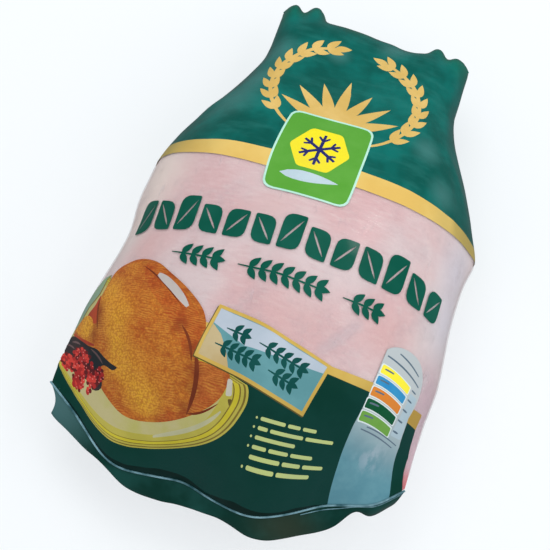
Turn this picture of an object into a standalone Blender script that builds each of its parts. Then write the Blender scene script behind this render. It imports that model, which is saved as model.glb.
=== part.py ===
"""A whole goose, frozen raw and shrunk into a printed film bag, lying on its back with the breast up.

Metres, +Z up. The legs point to +Y and the welded end of the bag to -Y. The origin is on the surface that
the pack lies on, under the middle of its footprint. The film clings to the bird, so bag and bird are one
closed solid: a loft of rings from the hem of the bag, over its weld, along the bird to the two leg ends.
"""

import math

import bpy
import numpy as np

PACK_NAME = "bagged_goose"

# Length of the pack, along the bird's back
WELD_Y = -0.189
LEG_END_Y = 0.202
WELD_CORNER_SETBACK = 0.049
WELD_BOW_END_Y, WELD_BOW_POWER = -0.010, 1.5
LEFT_CORNER_SETBACK, RIGHT_CORNER_SETBACK = 0.012, 0.006
LEG_CORNER_FROM_Y, LEG_CORNER_POWER = 0.130, 7
LEG_END_SKEW = 0.035

# Half widths of the bag, from the bird's own centre line
LEG_HALF_WIDTH = 0.0790
BREAST_HALF_WIDTH = 0.1250
WAIST_FROM_Y, WAIST_TO_Y = 0.160, 0.034
WAIST_SHIFT = 0.0025
SHIFT_FROM_Y, SHIFT_TO_Y = 0.040, 0.120
LEFT_EAR, RIGHT_EAR = 0.0210, 0.0020
EAR_FROM_Y, EAR_TO_Y = 0.000, -0.140
LEFT_PINCH = 0.0038
PINCH_FROM_Y, PINCH_TO_Y = 0.122, 0.178

# Heights of the side view: the crown over the breast and the back under it, as (y, z)
CROWN = (
    (-0.189, 0.136),
    (-0.110, 0.147),
    (-0.040, 0.155),
    (0.040, 0.146),
    (0.100, 0.117),
    (0.150, 0.090),
    (0.205, 0.070),
)
BACK = ((-0.189, 0.016), (-0.130, -0.009), (0.060, -0.009), (0.120, 0.005), (0.205, 0.032))
FLAT_EDGE_SOFTNESS = 0.0030
WAIST_LINE = ((-0.189, 0.058), (-0.060, 0.064), (0.080, 0.062), (0.205, 0.053))

# Exponents of a ring's width and height, as (at the breast, change at the weld, change at the legs)
UPPER_WIDE, UPPER_HIGH = (1.00, 0.00, -0.24), (0.96, 1.00, -0.30)
LOWER_WIDE, LOWER_HIGH = (0.86, 0.14, -0.10), (0.80, 1.10, -0.06)
BOXY_FROM_Y, BOXY_TO_Y = 0.030, 0.150

# How the two ends close
BREAST_END_LENGTH = 0.095
DOME_POWER, DOME_FULLNESS = 2.1, 0.85
LEG_END_LENGTH = 0.024
LEAST_THICKNESS = 0.0012
WELD_BEAD, BEAD_SPREAD = 0.0024, 0.0015

# Hem of film outside the weld. Places across it run from -1 at the left corner to 1 at the right one.
HEM_WIDTH = 0.0200
HEM_INSET, INSET_POWER = 0.0060, 5
HEM_RIPPLE, HEM_RIPPLE_LENGTH, HEM_RIPPLE_PHASE = 0.22, 0.47, 0.6
HEM_DROOP, HEM_DROOP_RIGHT = math.radians(33), math.radians(64)
DROOP_FROM, DROOP_TO = 0.68, 0.82
DROOP_AT_WELD = 0.55
HEM_EDGE_SHARPNESS = 8

# Where the hem was drawn in, or flares, as (place across, share of the width, spread)
HEM_NICKS = (
    (-1.00, -0.18, 0.080),
    (-0.61, 0.70, 0.115),
    (0.03, 0.43, 0.170),
    (0.55, -0.17, 0.060),
    (0.775, 0.68, 0.060),
)

# Where the weld strays from an even bow as the film shrinks, as (place across, push along Y, spread)
WELD_STRAYS = (
    (-0.58, -0.0125, 0.14),
    (-0.19, 0.0036, 0.08),
    (0.21, -0.0062, 0.14),
    (0.58, 0.0030, 0.08),
    (0.86, -0.0045, 0.08),
)
STRAY_REACH = 0.030

# Drumsticks along both sides of the belly
LEG_RIDGE_HEIGHT = 0.011
LEG_RIDGE_SPREAD = 0.021
LEG_LINE_AT_THIGH, LEG_LINE_AT_END = 0.078, 0.055
THIGH_Y, SHANK_Y = 0.000, 0.120

# Breastbone
KEEL_HEIGHT, KEEL_SPREAD = 0.0035, 0.011
KEEL_FROM_Y, KEEL_TO_Y, KEEL_RAMP = -0.150, 0.020, 0.050

# Bumps of bone under the film, and the dip between the legs, as (x, y, z, push, spread)
KNUCKLES = (
    (-0.0674, 0.199, 0.060, 0.0122, 0.0066),
    (-0.0470, 0.203, 0.055, 0.0100, 0.0052),
    (-0.0120, 0.202, 0.055, 0.0016, 0.0110),
    (0.0330, 0.202, 0.055, -0.0024, 0.0080),
    (0.0545, 0.199, 0.055, 0.0074, 0.0046),
    (0.0735, 0.193, 0.060, 0.0072, 0.0060),
)
KNUCKLE_LENGTH, KNUCKLE_DEPTH, KNUCKLE_LIFT = 2.2, 2.6, 0.25
KNOB_REACH, KNOB_FLATNESS = 1.5, 3.0
WING_BUMPS = (
    (0.1280, 0.040, 0.066, 0.0040, 0.010),
    (-0.1250, 0.010, 0.060, 0.0040, 0.016),
    (0.1300, -0.060, 0.055, 0.0030, 0.020),
)

# Mesh of the solid
BODY_RINGS = 44
HEM_RINGS = 3
COLUMNS = 36
END_CROWDING = 0.55

FILM_GREEN = (0.004, 0.115, 0.085, 1.0)


def smooth_step(low, high, value):
    """0 at low, 1 at high, and level at both."""
    t = np.clip((value - low) / (high - low), 0.0, 1.0)
    return t * t * (3.0 - 2.0 * t)


def bell(distance, spread):
    return np.exp(-0.5 * (distance / spread) ** 2)


def along(profile, y):
    """A smooth curve through the (y, height) points of a side view."""
    places = np.array([p[0] for p in profile])
    heights = np.array([p[1] for p in profile])
    slopes = np.gradient(heights, places)
    i = np.clip(np.searchsorted(places, y) - 1, 0, len(places) - 2)
    span = places[i + 1] - places[i]
    t = np.clip((y - places[i]) / span, 0.0, 1.0)
    rise = heights[i] * (1 + 2 * t) * (1 - t) ** 2 + heights[i + 1] * t * t * (3 - 2 * t)
    return rise + span * (slopes[i] * t * (1 - t) ** 2 - slopes[i + 1] * t * t * (1 - t))


def half_widths(edge_y):
    """The bag's half widths to the left and the right of the centre line."""
    waist = smooth_step(WAIST_FROM_Y, WAIST_TO_Y, edge_y)
    body = LEG_HALF_WIDTH + (BREAST_HALF_WIDTH - LEG_HALF_WIDTH) * waist
    ear = smooth_step(EAR_FROM_Y, EAR_TO_Y, edge_y)
    pinch = LEFT_PINCH * smooth_step(PINCH_FROM_Y, PINCH_TO_Y, edge_y)
    return body + LEFT_EAR * ear - pinch, body + RIGHT_EAR * ear


def weld_stray(across):
    """How far the shrunk weld strays along Y from its even bow."""
    return sum(push * bell(across - place, spread) for place, push, spread in WELD_STRAYS)


def ring_shape(y, upper):
    """Exponents of a ring's width and height: lips at the weld, round at the breast, boxy at the legs."""
    lip = 1.0 - smooth_step(WELD_Y, WELD_Y + BREAST_END_LENGTH, y)
    legs = smooth_step(BOXY_FROM_Y, BOXY_TO_Y, y)
    exponents = (UPPER_WIDE, UPPER_HIGH) if upper else (LOWER_WIDE, LOWER_HIGH)
    return [round_part + at_lip * lip + at_legs * legs for round_part, at_lip, at_legs in exponents]


def body_point(along_body, turn):
    """Points of the bag. along_body is 0 at the weld and 1 at the legs' ends, and turn is a ring's angle."""
    centre_y = WELD_Y + (LEG_END_Y - WELD_Y) * along_body
    cosine, sine = np.cos(turn), np.sin(turn)
    upper = sine >= 0
    wide_upper, high_upper = ring_shape(centre_y, True)
    wide_lower, high_lower = ring_shape(centre_y, False)
    across = np.sign(cosine) * np.abs(cosine) ** np.where(upper, wide_upper, wide_lower)
    rise = np.abs(sine) ** np.where(upper, high_upper, high_lower)

    # Each row of the bag bows forward at the weld, and falls back at the corners of the leg end.
    at_weld = (1.0 - smooth_step(WELD_Y, WELD_BOW_END_Y, centre_y)) ** WELD_BOW_POWER
    at_legs = smooth_step(LEG_CORNER_FROM_Y, LEG_END_Y, centre_y)
    stray = weld_stray(across) * (1.0 - smooth_step(WELD_Y, WELD_Y + STRAY_REACH, centre_y))
    setback = np.where(across < 0, LEFT_CORNER_SETBACK, RIGHT_CORNER_SETBACK)
    fall = setback * np.abs(across) ** LEG_CORNER_POWER + LEG_END_SKEW * LEG_HALF_WIDTH * across
    y = centre_y + WELD_CORNER_SETBACK * across**2 * at_weld + stray - fall * at_legs
    left, right = half_widths(centre_y + WELD_CORNER_SETBACK * at_weld)
    shift = WAIST_SHIFT * smooth_step(SHIFT_FROM_Y, SHIFT_TO_Y, centre_y)
    x = across * np.where(across < 0, left, right) + shift

    # The ends close: a long dome down to the weld, and a blunt round end over the legs.
    from_weld = np.clip((centre_y - WELD_Y) / BREAST_END_LENGTH, 0.0, 1.0)
    dome = (1.0 - (1.0 - from_weld) ** DOME_POWER) ** DOME_FULLNESS
    to_legs = np.clip((centre_y - (LEG_END_Y - LEG_END_LENGTH)) / LEG_END_LENGTH, 0.0, 1.0)
    blunt = np.sqrt(1.0 - to_legs**2)
    middle = along(WAIST_LINE, centre_y)
    height = (along(CROWN, centre_y) - middle) * dome * blunt
    depth = (middle - along(BACK, centre_y)) * dome * blunt

    # Drumsticks and breastbone lift the upper side.
    leg = smooth_step(THIGH_Y, SHANK_Y, centre_y) * blunt
    inward = smooth_step(THIGH_Y, LEG_END_Y, centre_y)
    leg_line = LEG_LINE_AT_THIGH + (LEG_LINE_AT_END - LEG_LINE_AT_THIGH) * inward
    ridges = bell(x - leg_line, LEG_RIDGE_SPREAD) + bell(x + leg_line, LEG_RIDGE_SPREAD)
    keel = bell(x, KEEL_SPREAD) * smooth_step(KEEL_FROM_Y, KEEL_FROM_Y + KEEL_RAMP, centre_y)
    keel = keel * (1.0 - smooth_step(KEEL_TO_Y - KEEL_RAMP, KEEL_TO_Y, centre_y))
    relief = LEG_RIDGE_HEIGHT * ridges * leg + KEEL_HEIGHT * keel * dome
    bead = (WELD_BEAD - LEAST_THICKNESS) * bell(centre_y - WELD_Y, BEAD_SPREAD)
    lip = 0.5 * (LEAST_THICKNESS + bead)
    up = middle + (height + lip) * rise + relief * rise
    down = middle - (depth + lip) * rise
    z = np.where(upper, up, down)
    return np.stack([x, y, z], axis=-1)


def flattened(z):
    """Heights with what would reach below the surface pressed flat, and a soft edge round the flat."""
    soft = (z + FLAT_EDGE_SOFTNESS) ** 2 / (4 * FLAT_EDGE_SOFTNESS)
    return np.where(z > FLAT_EDGE_SOFTNESS, z, np.where(z < -FLAT_EDGE_SOFTNESS, 0.0, soft))


def with_bumps(points):
    """Bones push the film out: round knuckles at the leg ends, and wing joints at the sides."""
    pushed = points.copy()
    for x, y, z, push, spread in KNUCKLES:
        sides = np.array([spread, KNUCKLE_LENGTH * spread, KNUCKLE_DEPTH * spread])
        reach = np.linalg.norm((points - (x, y, z)) / sides, axis=-1)
        swell = push * np.exp(-((reach / KNOB_REACH) ** KNOB_FLATNESS))
        pushed[..., 1] += swell
        pushed[..., 2] += KNUCKLE_LIFT * swell
    for x, y, z, push, spread in WING_BUMPS:
        reach = np.linalg.norm(points - (x, y, z), axis=-1)
        pushed[..., 0] += math.copysign(push, x) * bell(reach, spread)
    pushed[..., 2] = flattened(pushed[..., 2])
    return pushed


def hem_point(out, turn):
    """Points of the film hem. out is 0 at the weld and 1 at the cut edge."""
    weld = body_point(np.zeros_like(turn), turn)
    ear = np.where(weld[..., 0] < 0, LEFT_EAR, RIGHT_EAR)
    across = np.clip(weld[..., 0] / (BREAST_HALF_WIDTH + ear), -1, 1)
    droop = HEM_DROOP + (HEM_DROOP_RIGHT - HEM_DROOP) * smooth_step(DROOP_FROM, DROOP_TO, across)
    wave = np.sin(2 * math.pi * across / HEM_RIPPLE_LENGTH + HEM_RIPPLE_PHASE)
    droop = droop + HEM_RIPPLE * wave * (1 - across**2)
    bend = droop * (DROOP_AT_WELD + (1.0 - DROOP_AT_WELD) * out)
    length = HEM_WIDTH * np.ones_like(across)
    for place, share, spread in HEM_NICKS:
        length = length * (1.0 - share * bell(across - place, spread))
    point = weld.copy()
    point[..., 0] -= HEM_INSET * out * across**INSET_POWER
    point[..., 1] -= length * out * np.cos(bend)
    point[..., 2] -= length * out * np.sin(bend)
    face = np.sign(np.sin(turn)) * np.clip(np.abs(np.sin(turn)) * HEM_EDGE_SHARPNESS, 0, 1)
    point[..., 2] -= face * 0.5 * (WELD_BEAD - LEAST_THICKNESS) * np.clip(out * HEM_RINGS, 0, 1)
    return point


def pack_rings():
    """All rings of the pack, from the hem's cut edge to the leg ends."""
    turn = np.linspace(0.0, 2 * math.pi, 2 * COLUMNS, endpoint=False)
    outs = np.linspace(1.0, 0.0, HEM_RINGS, endpoint=False)
    rings = [hem_point(np.full_like(turn, out), turn) for out in outs]
    for step in range(BODY_RINGS + 1):
        share = step / BODY_RINGS
        along_body = share + END_CROWDING * ((1 - math.cos(math.pi * share)) / 2 - share)
        rings.append(body_point(np.full_like(turn, along_body), turn))
    return with_bumps(np.array(rings))


def centred(rings):
    """The rings with the middle of their footprint at the origin."""
    flat = rings.reshape(-1, 3)
    middle = (flat.min(0) + flat.max(0)) / 2
    return rings - np.array([middle[0], middle[1], flat[:, 2].min()])


def ring_faces(rings):
    """Walls between the rings, and at both ends a strip of faces across the closed lips."""
    count = 2 * COLUMNS
    faces = []
    for ring in range(rings - 1):
        for column in range(count):
            after = (column + 1) % count
            here, beyond = ring * count, (ring + 1) * count
            faces.append((here + column, beyond + column, beyond + after, here + after))
    last = (rings - 1) * count
    for column in range(COLUMNS):
        across = (column, column + 1, (count - column - 1) % count, (count - column) % count)
        strip = list(dict.fromkeys(across))
        faces.append(tuple(strip))
        faces.append(tuple(last + c for c in reversed(strip)))
    return faces


def film_material():
    """Printed film, dark green, with a soft gloss."""
    material = bpy.data.materials.new("printed_film")
    material.use_nodes = True
    shader = material.node_tree.nodes["Principled BSDF"]
    shader.inputs["Base Color"].default_value = FILM_GREEN
    shader.inputs["Roughness"].default_value = 0.35
    shader.inputs["Metallic"].default_value = 0.0
    return material


def build():
    for old in list(bpy.data.objects):
        bpy.data.objects.remove(old, do_unlink=True)
    collection = bpy.data.collections.new("goose_pack")
    bpy.context.scene.collection.children.link(collection)
    rings = centred(pack_rings())
    mesh = bpy.data.meshes.new(PACK_NAME)
    mesh.from_pydata(rings.reshape(-1, 3).tolist(), [], ring_faces(len(rings)))
    mesh.materials.append(film_material())
    mesh.shade_smooth()
    pack = bpy.data.objects.new(PACK_NAME, mesh)
    collection.objects.link(pack)


build()
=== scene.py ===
"""A whole goose, frozen raw and shrunk into a printed film bag: its skin, the film, the print, weld and hem.

Metres, +Z up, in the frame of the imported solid. The print is laid out on the film itself, in millimetres:
s runs round the bag to the right from the line over the breast, and t runs along the bird, from the weld at
-189 to the leg ends at 202.
"""

import math
import random

import bpy
import numpy as np
from mathutils import Matrix, Vector, noise
from mathutils.geometry import delaunay_2d_cdt
from mathutils.kdtree import KDTree


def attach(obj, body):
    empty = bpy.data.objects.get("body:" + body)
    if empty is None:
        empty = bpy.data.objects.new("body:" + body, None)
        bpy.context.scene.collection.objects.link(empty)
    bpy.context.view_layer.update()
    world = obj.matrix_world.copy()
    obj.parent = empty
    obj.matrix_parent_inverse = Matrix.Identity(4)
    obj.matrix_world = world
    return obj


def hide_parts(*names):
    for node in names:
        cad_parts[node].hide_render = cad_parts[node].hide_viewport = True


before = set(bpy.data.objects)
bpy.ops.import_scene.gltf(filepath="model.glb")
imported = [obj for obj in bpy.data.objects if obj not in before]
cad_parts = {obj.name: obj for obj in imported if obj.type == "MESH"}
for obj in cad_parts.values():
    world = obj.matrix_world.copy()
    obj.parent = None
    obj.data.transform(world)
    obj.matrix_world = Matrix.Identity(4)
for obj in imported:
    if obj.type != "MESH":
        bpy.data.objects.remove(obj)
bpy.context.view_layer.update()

PACK = "bagged_goose"
BODY = "root"

# Length of the pack, along the bird's back
WELD_Y = -0.189
LEG_END_Y = 0.202
WELD_CORNER_SETBACK = 0.049
WELD_BOW_END_Y, WELD_BOW_POWER = -0.010, 1.5
LEFT_CORNER_SETBACK, RIGHT_CORNER_SETBACK = 0.012, 0.006
LEG_CORNER_FROM_Y, LEG_CORNER_POWER = 0.130, 7
LEG_END_SKEW = 0.035

# Half widths of the bag, from the bird's own centre line
LEG_HALF_WIDTH = 0.0790
BREAST_HALF_WIDTH = 0.1250
WAIST_FROM_Y, WAIST_TO_Y = 0.160, 0.034
WAIST_SHIFT = 0.0025
SHIFT_FROM_Y, SHIFT_TO_Y = 0.040, 0.120
LEFT_EAR, RIGHT_EAR = 0.0210, 0.0020
EAR_FROM_Y, EAR_TO_Y = 0.000, -0.140
LEFT_PINCH = 0.0038
PINCH_FROM_Y, PINCH_TO_Y = 0.122, 0.178

# Heights of the side view: the crown over the breast and the back under it, as (y, z)
CROWN = (
    (-0.189, 0.136),
    (-0.110, 0.147),
    (-0.040, 0.155),
    (0.040, 0.146),
    (0.100, 0.117),
    (0.150, 0.090),
    (0.205, 0.070),
)
BACK = ((-0.189, 0.016), (-0.130, -0.009), (0.060, -0.009), (0.120, 0.005), (0.205, 0.032))
FLAT_EDGE_SOFTNESS = 0.0030
WAIST_LINE = ((-0.189, 0.058), (-0.060, 0.064), (0.080, 0.062), (0.205, 0.053))

# Exponents of a ring's width and height, as (at the breast, change at the weld, change at the legs)
UPPER_WIDE, UPPER_HIGH = (1.00, 0.00, -0.24), (0.96, 1.00, -0.30)
LOWER_WIDE, LOWER_HIGH = (0.86, 0.14, -0.10), (0.80, 1.10, -0.06)
BOXY_FROM_Y, BOXY_TO_Y = 0.030, 0.150

# How the two ends close
BREAST_END_LENGTH = 0.095
DOME_POWER, DOME_FULLNESS = 2.1, 0.85
LEG_END_LENGTH = 0.024
LEAST_THICKNESS = 0.0012
WELD_BEAD, BEAD_SPREAD = 0.0024, 0.0015

# Hem of film outside the weld. Places across it run from -1 at the left corner to 1 at the right one.
HEM_WIDTH = 0.0200
HEM_INSET, INSET_POWER = 0.0060, 5
HEM_RIPPLE, HEM_RIPPLE_LENGTH, HEM_RIPPLE_PHASE = 0.22, 0.47, 0.6
HEM_DROOP, HEM_DROOP_RIGHT = math.radians(33), math.radians(64)
DROOP_FROM, DROOP_TO = 0.68, 0.82
DROOP_AT_WELD = 0.55
HEM_EDGE_SHARPNESS, BEAD_FADE = 8, 3

# Where the hem was drawn in, or flares, as (place across, share of the width, spread)
HEM_NICKS = (
    (-1.00, -0.18, 0.080),
    (-0.61, 0.70, 0.115),
    (0.03, 0.43, 0.170),
    (0.55, -0.17, 0.060),
    (0.775, 0.68, 0.060),
)

# Where the weld strays from an even bow as the film shrinks, as (place across, push along Y, spread)
WELD_STRAYS = (
    (-0.58, -0.0125, 0.14),
    (-0.19, 0.0036, 0.08),
    (0.21, -0.0062, 0.14),
    (0.58, 0.0030, 0.08),
    (0.86, -0.0045, 0.08),
)
STRAY_REACH = 0.030

# Drumsticks along both sides of the belly
LEG_RIDGE_HEIGHT = 0.011
LEG_RIDGE_SPREAD = 0.021
LEG_LINE_AT_THIGH, LEG_LINE_AT_END = 0.078, 0.055
THIGH_Y, SHANK_Y = 0.000, 0.120

# Breastbone
KEEL_HEIGHT, KEEL_SPREAD = 0.0035, 0.011
KEEL_FROM_Y, KEEL_TO_Y, KEEL_RAMP = -0.150, 0.020, 0.050

# Bumps of bone under the film, and the dip between the legs, as (x, y, z, push, spread)
KNUCKLES = (
    (-0.0674, 0.199, 0.060, 0.0122, 0.0066),
    (-0.0470, 0.203, 0.055, 0.0100, 0.0052),
    (-0.0120, 0.202, 0.055, 0.0016, 0.0110),
    (0.0330, 0.202, 0.055, -0.0024, 0.0080),
    (0.0545, 0.199, 0.055, 0.0074, 0.0046),
    (0.0735, 0.193, 0.060, 0.0072, 0.0060),
)
KNUCKLE_LENGTH, KNUCKLE_DEPTH, KNUCKLE_LIFT = 2.2, 2.6, 0.25
KNOB_REACH, KNOB_FLATNESS = 1.5, 3.0
WING_BUMPS = (
    (0.1280, 0.040, 0.066, 0.0040, 0.010),
    (-0.1250, 0.010, 0.060, 0.0040, 0.016),
    (0.1300, -0.060, 0.055, 0.0030, 0.020),
)

FILM = 0.00012

# The sheet, in millimetres: its length along the bird, and half its width as it is cut, before it is fitted
T_WELD, T_LEGS = 1000 * WELD_Y, 1000 * LEG_END_Y
HALF_SHEET = 280.0
GRID = 2.7
OUTLINE_STEP = 2.2

random.seed(7)


def smooth_step(low, high, value):
    """0 at low, 1 at high, and level at both."""
    t = np.clip((value - low) / (high - low), 0.0, 1.0)
    return t * t * (3.0 - 2.0 * t)


def bell(distance, spread):
    return np.exp(-0.5 * (distance / spread) ** 2)


def along(profile, y):
    """A smooth curve through the (y, height) points of a side view."""
    places = np.array([p[0] for p in profile])
    heights = np.array([p[1] for p in profile])
    slopes = np.gradient(heights, places)
    i = np.clip(np.searchsorted(places, y) - 1, 0, len(places) - 2)
    span = places[i + 1] - places[i]
    t = np.clip((y - places[i]) / span, 0.0, 1.0)
    rise = heights[i] * (1 + 2 * t) * (1 - t) ** 2 + heights[i + 1] * t * t * (3 - 2 * t)
    return rise + span * (slopes[i] * t * (1 - t) ** 2 - slopes[i + 1] * t * t * (1 - t))


def half_widths(edge_y):
    """The bag's half widths to the left and the right of the centre line."""
    waist = smooth_step(WAIST_FROM_Y, WAIST_TO_Y, edge_y)
    body = LEG_HALF_WIDTH + (BREAST_HALF_WIDTH - LEG_HALF_WIDTH) * waist
    ear = smooth_step(EAR_FROM_Y, EAR_TO_Y, edge_y)
    pinch = LEFT_PINCH * smooth_step(PINCH_FROM_Y, PINCH_TO_Y, edge_y)
    return body + LEFT_EAR * ear - pinch, body + RIGHT_EAR * ear


def weld_stray(across):
    """How far the shrunk weld strays along Y from its even bow."""
    return sum(push * bell(across - place, spread) for place, push, spread in WELD_STRAYS)


def ring_shape(y, upper):
    """Exponents of a ring's width and height: lips at the weld, round at the breast, boxy at the legs."""
    lip = 1.0 - smooth_step(WELD_Y, WELD_Y + BREAST_END_LENGTH, y)
    legs = smooth_step(BOXY_FROM_Y, BOXY_TO_Y, y)
    exponents = (UPPER_WIDE, UPPER_HIGH) if upper else (LOWER_WIDE, LOWER_HIGH)
    return [round_part + at_lip * lip + at_legs * legs for round_part, at_lip, at_legs in exponents]


def body_point(along_body, turn):
    """Points of the bag. along_body is 0 at the weld and 1 at the legs' ends, and turn is a ring's angle."""
    centre_y = WELD_Y + (LEG_END_Y - WELD_Y) * along_body
    cosine, sine = np.cos(turn), np.sin(turn)
    upper = sine >= 0
    wide_upper, high_upper = ring_shape(centre_y, True)
    wide_lower, high_lower = ring_shape(centre_y, False)
    across = np.sign(cosine) * np.abs(cosine) ** np.where(upper, wide_upper, wide_lower)
    rise = np.abs(sine) ** np.where(upper, high_upper, high_lower)

    # Each row of the bag bows forward at the weld, and falls back at the corners of the leg end.
    at_weld = (1.0 - smooth_step(WELD_Y, WELD_BOW_END_Y, centre_y)) ** WELD_BOW_POWER
    at_legs = smooth_step(LEG_CORNER_FROM_Y, LEG_END_Y, centre_y)
    stray = weld_stray(across) * (1.0 - smooth_step(WELD_Y, WELD_Y + STRAY_REACH, centre_y))
    setback = np.where(across < 0, LEFT_CORNER_SETBACK, RIGHT_CORNER_SETBACK)
    fall = setback * np.abs(across) ** LEG_CORNER_POWER + LEG_END_SKEW * LEG_HALF_WIDTH * across
    y = centre_y + WELD_CORNER_SETBACK * across**2 * at_weld + stray - fall * at_legs
    left, right = half_widths(centre_y + WELD_CORNER_SETBACK * at_weld)
    shift = WAIST_SHIFT * smooth_step(SHIFT_FROM_Y, SHIFT_TO_Y, centre_y)
    x = across * np.where(across < 0, left, right) + shift

    # The ends close: a long dome down to the weld, and a blunt round end over the legs.
    from_weld = np.clip((centre_y - WELD_Y) / BREAST_END_LENGTH, 0.0, 1.0)
    dome = (1.0 - (1.0 - from_weld) ** DOME_POWER) ** DOME_FULLNESS
    to_legs = np.clip((centre_y - (LEG_END_Y - LEG_END_LENGTH)) / LEG_END_LENGTH, 0.0, 1.0)
    blunt = np.sqrt(1.0 - to_legs**2)
    middle = along(WAIST_LINE, centre_y)
    height = (along(CROWN, centre_y) - middle) * dome * blunt
    depth = (middle - along(BACK, centre_y)) * dome * blunt

    # Drumsticks and breastbone lift the upper side.
    leg = smooth_step(THIGH_Y, SHANK_Y, centre_y) * blunt
    inward = smooth_step(THIGH_Y, LEG_END_Y, centre_y)
    leg_line = LEG_LINE_AT_THIGH + (LEG_LINE_AT_END - LEG_LINE_AT_THIGH) * inward
    ridges = bell(x - leg_line, LEG_RIDGE_SPREAD) + bell(x + leg_line, LEG_RIDGE_SPREAD)
    keel = bell(x, KEEL_SPREAD) * smooth_step(KEEL_FROM_Y, KEEL_FROM_Y + KEEL_RAMP, centre_y)
    keel = keel * (1.0 - smooth_step(KEEL_TO_Y - KEEL_RAMP, KEEL_TO_Y, centre_y))
    relief = LEG_RIDGE_HEIGHT * ridges * leg + KEEL_HEIGHT * keel * dome
    bead = (WELD_BEAD - LEAST_THICKNESS) * bell(centre_y - WELD_Y, BEAD_SPREAD)
    lip = 0.5 * (LEAST_THICKNESS * np.sign(blunt) + bead)
    up = middle + (height + lip) * rise + relief * rise
    down = middle - (depth + lip) * rise
    z = np.where(upper, up, down)
    return np.stack([x, y, z], axis=-1)


def flattened(z):
    """Heights with what would reach below the surface pressed flat, and a soft edge round the flat."""
    soft = (z + FLAT_EDGE_SOFTNESS) ** 2 / (4 * FLAT_EDGE_SOFTNESS)
    return np.where(z > FLAT_EDGE_SOFTNESS, z, np.where(z < -FLAT_EDGE_SOFTNESS, 0.0, soft))


def with_bumps(points):
    """Bones push the film out: round knuckles at the leg ends, and wing joints at the sides."""
    pushed = points.copy()
    for x, y, z, push, spread in KNUCKLES:
        sides = np.array([spread, KNUCKLE_LENGTH * spread, KNUCKLE_DEPTH * spread])
        reach = np.linalg.norm((points - (x, y, z)) / sides, axis=-1)
        swell = push * np.exp(-((reach / KNOB_REACH) ** KNOB_FLATNESS))
        pushed[..., 1] += swell
        pushed[..., 2] += KNUCKLE_LIFT * swell
    for x, y, z, push, spread in WING_BUMPS:
        reach = np.linalg.norm(points - (x, y, z), axis=-1)
        pushed[..., 0] += math.copysign(push, x) * bell(reach, spread)
    pushed[..., 2] = flattened(pushed[..., 2])
    return pushed


def hem_point(out, turn):
    """Points of the film hem. out is 0 at the weld and 1 at the cut edge."""
    weld = body_point(np.zeros_like(turn), turn)
    ear = np.where(weld[..., 0] < 0, LEFT_EAR, RIGHT_EAR)
    across = np.clip(weld[..., 0] / (BREAST_HALF_WIDTH + ear), -1, 1)
    droop = HEM_DROOP + (HEM_DROOP_RIGHT - HEM_DROOP) * smooth_step(DROOP_FROM, DROOP_TO, across)
    wave = np.sin(2 * math.pi * across / HEM_RIPPLE_LENGTH + HEM_RIPPLE_PHASE)
    droop = droop + HEM_RIPPLE * wave * (1 - across**2)
    bend = droop * (DROOP_AT_WELD + (1.0 - DROOP_AT_WELD) * out)
    length = HEM_WIDTH * np.ones_like(across)
    for place, share, spread in HEM_NICKS:
        length = length * (1.0 - share * bell(across - place, spread))
    point = weld.copy()
    point[..., 0] -= HEM_INSET * out * across**INSET_POWER
    point[..., 1] -= length * out * np.cos(bend)
    point[..., 2] -= length * out * np.sin(bend)
    face = np.sign(np.sin(turn)) * np.clip(np.abs(np.sin(turn)) * HEM_EDGE_SHARPNESS, 0, 1)
    point[..., 2] -= face * 0.5 * (WELD_BEAD - LEAST_THICKNESS) * np.clip(out * BEAD_FADE, 0, 1)
    return point


FOOTPRINT_TURNS, FOOTPRINT_ROWS = 144, 160


def footprint_middle():
    """The middle of the pack's footprint, where the solid's origin is."""
    turn = np.linspace(0.0, 2 * math.pi, FOOTPRINT_TURNS, endpoint=False)
    hem = with_bumps(hem_point(np.ones_like(turn), turn))
    places = np.linspace(0.0, 1.0, FOOTPRINT_ROWS)[:, None]
    body = with_bumps(body_point(places * np.ones_like(turn), turn * np.ones_like(places)))
    points = np.concatenate([hem, body.reshape(-1, 3)])
    middle = (points.min(0) + points.max(0)) / 2
    return np.array([middle[0], middle[1], 0.0])


MIDDLE = footprint_middle()


def bag_points(along_body, turn):
    """Points of the bag, in the solid's frame."""
    return with_bumps(body_point(along_body, turn)) - MIDDLE


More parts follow.
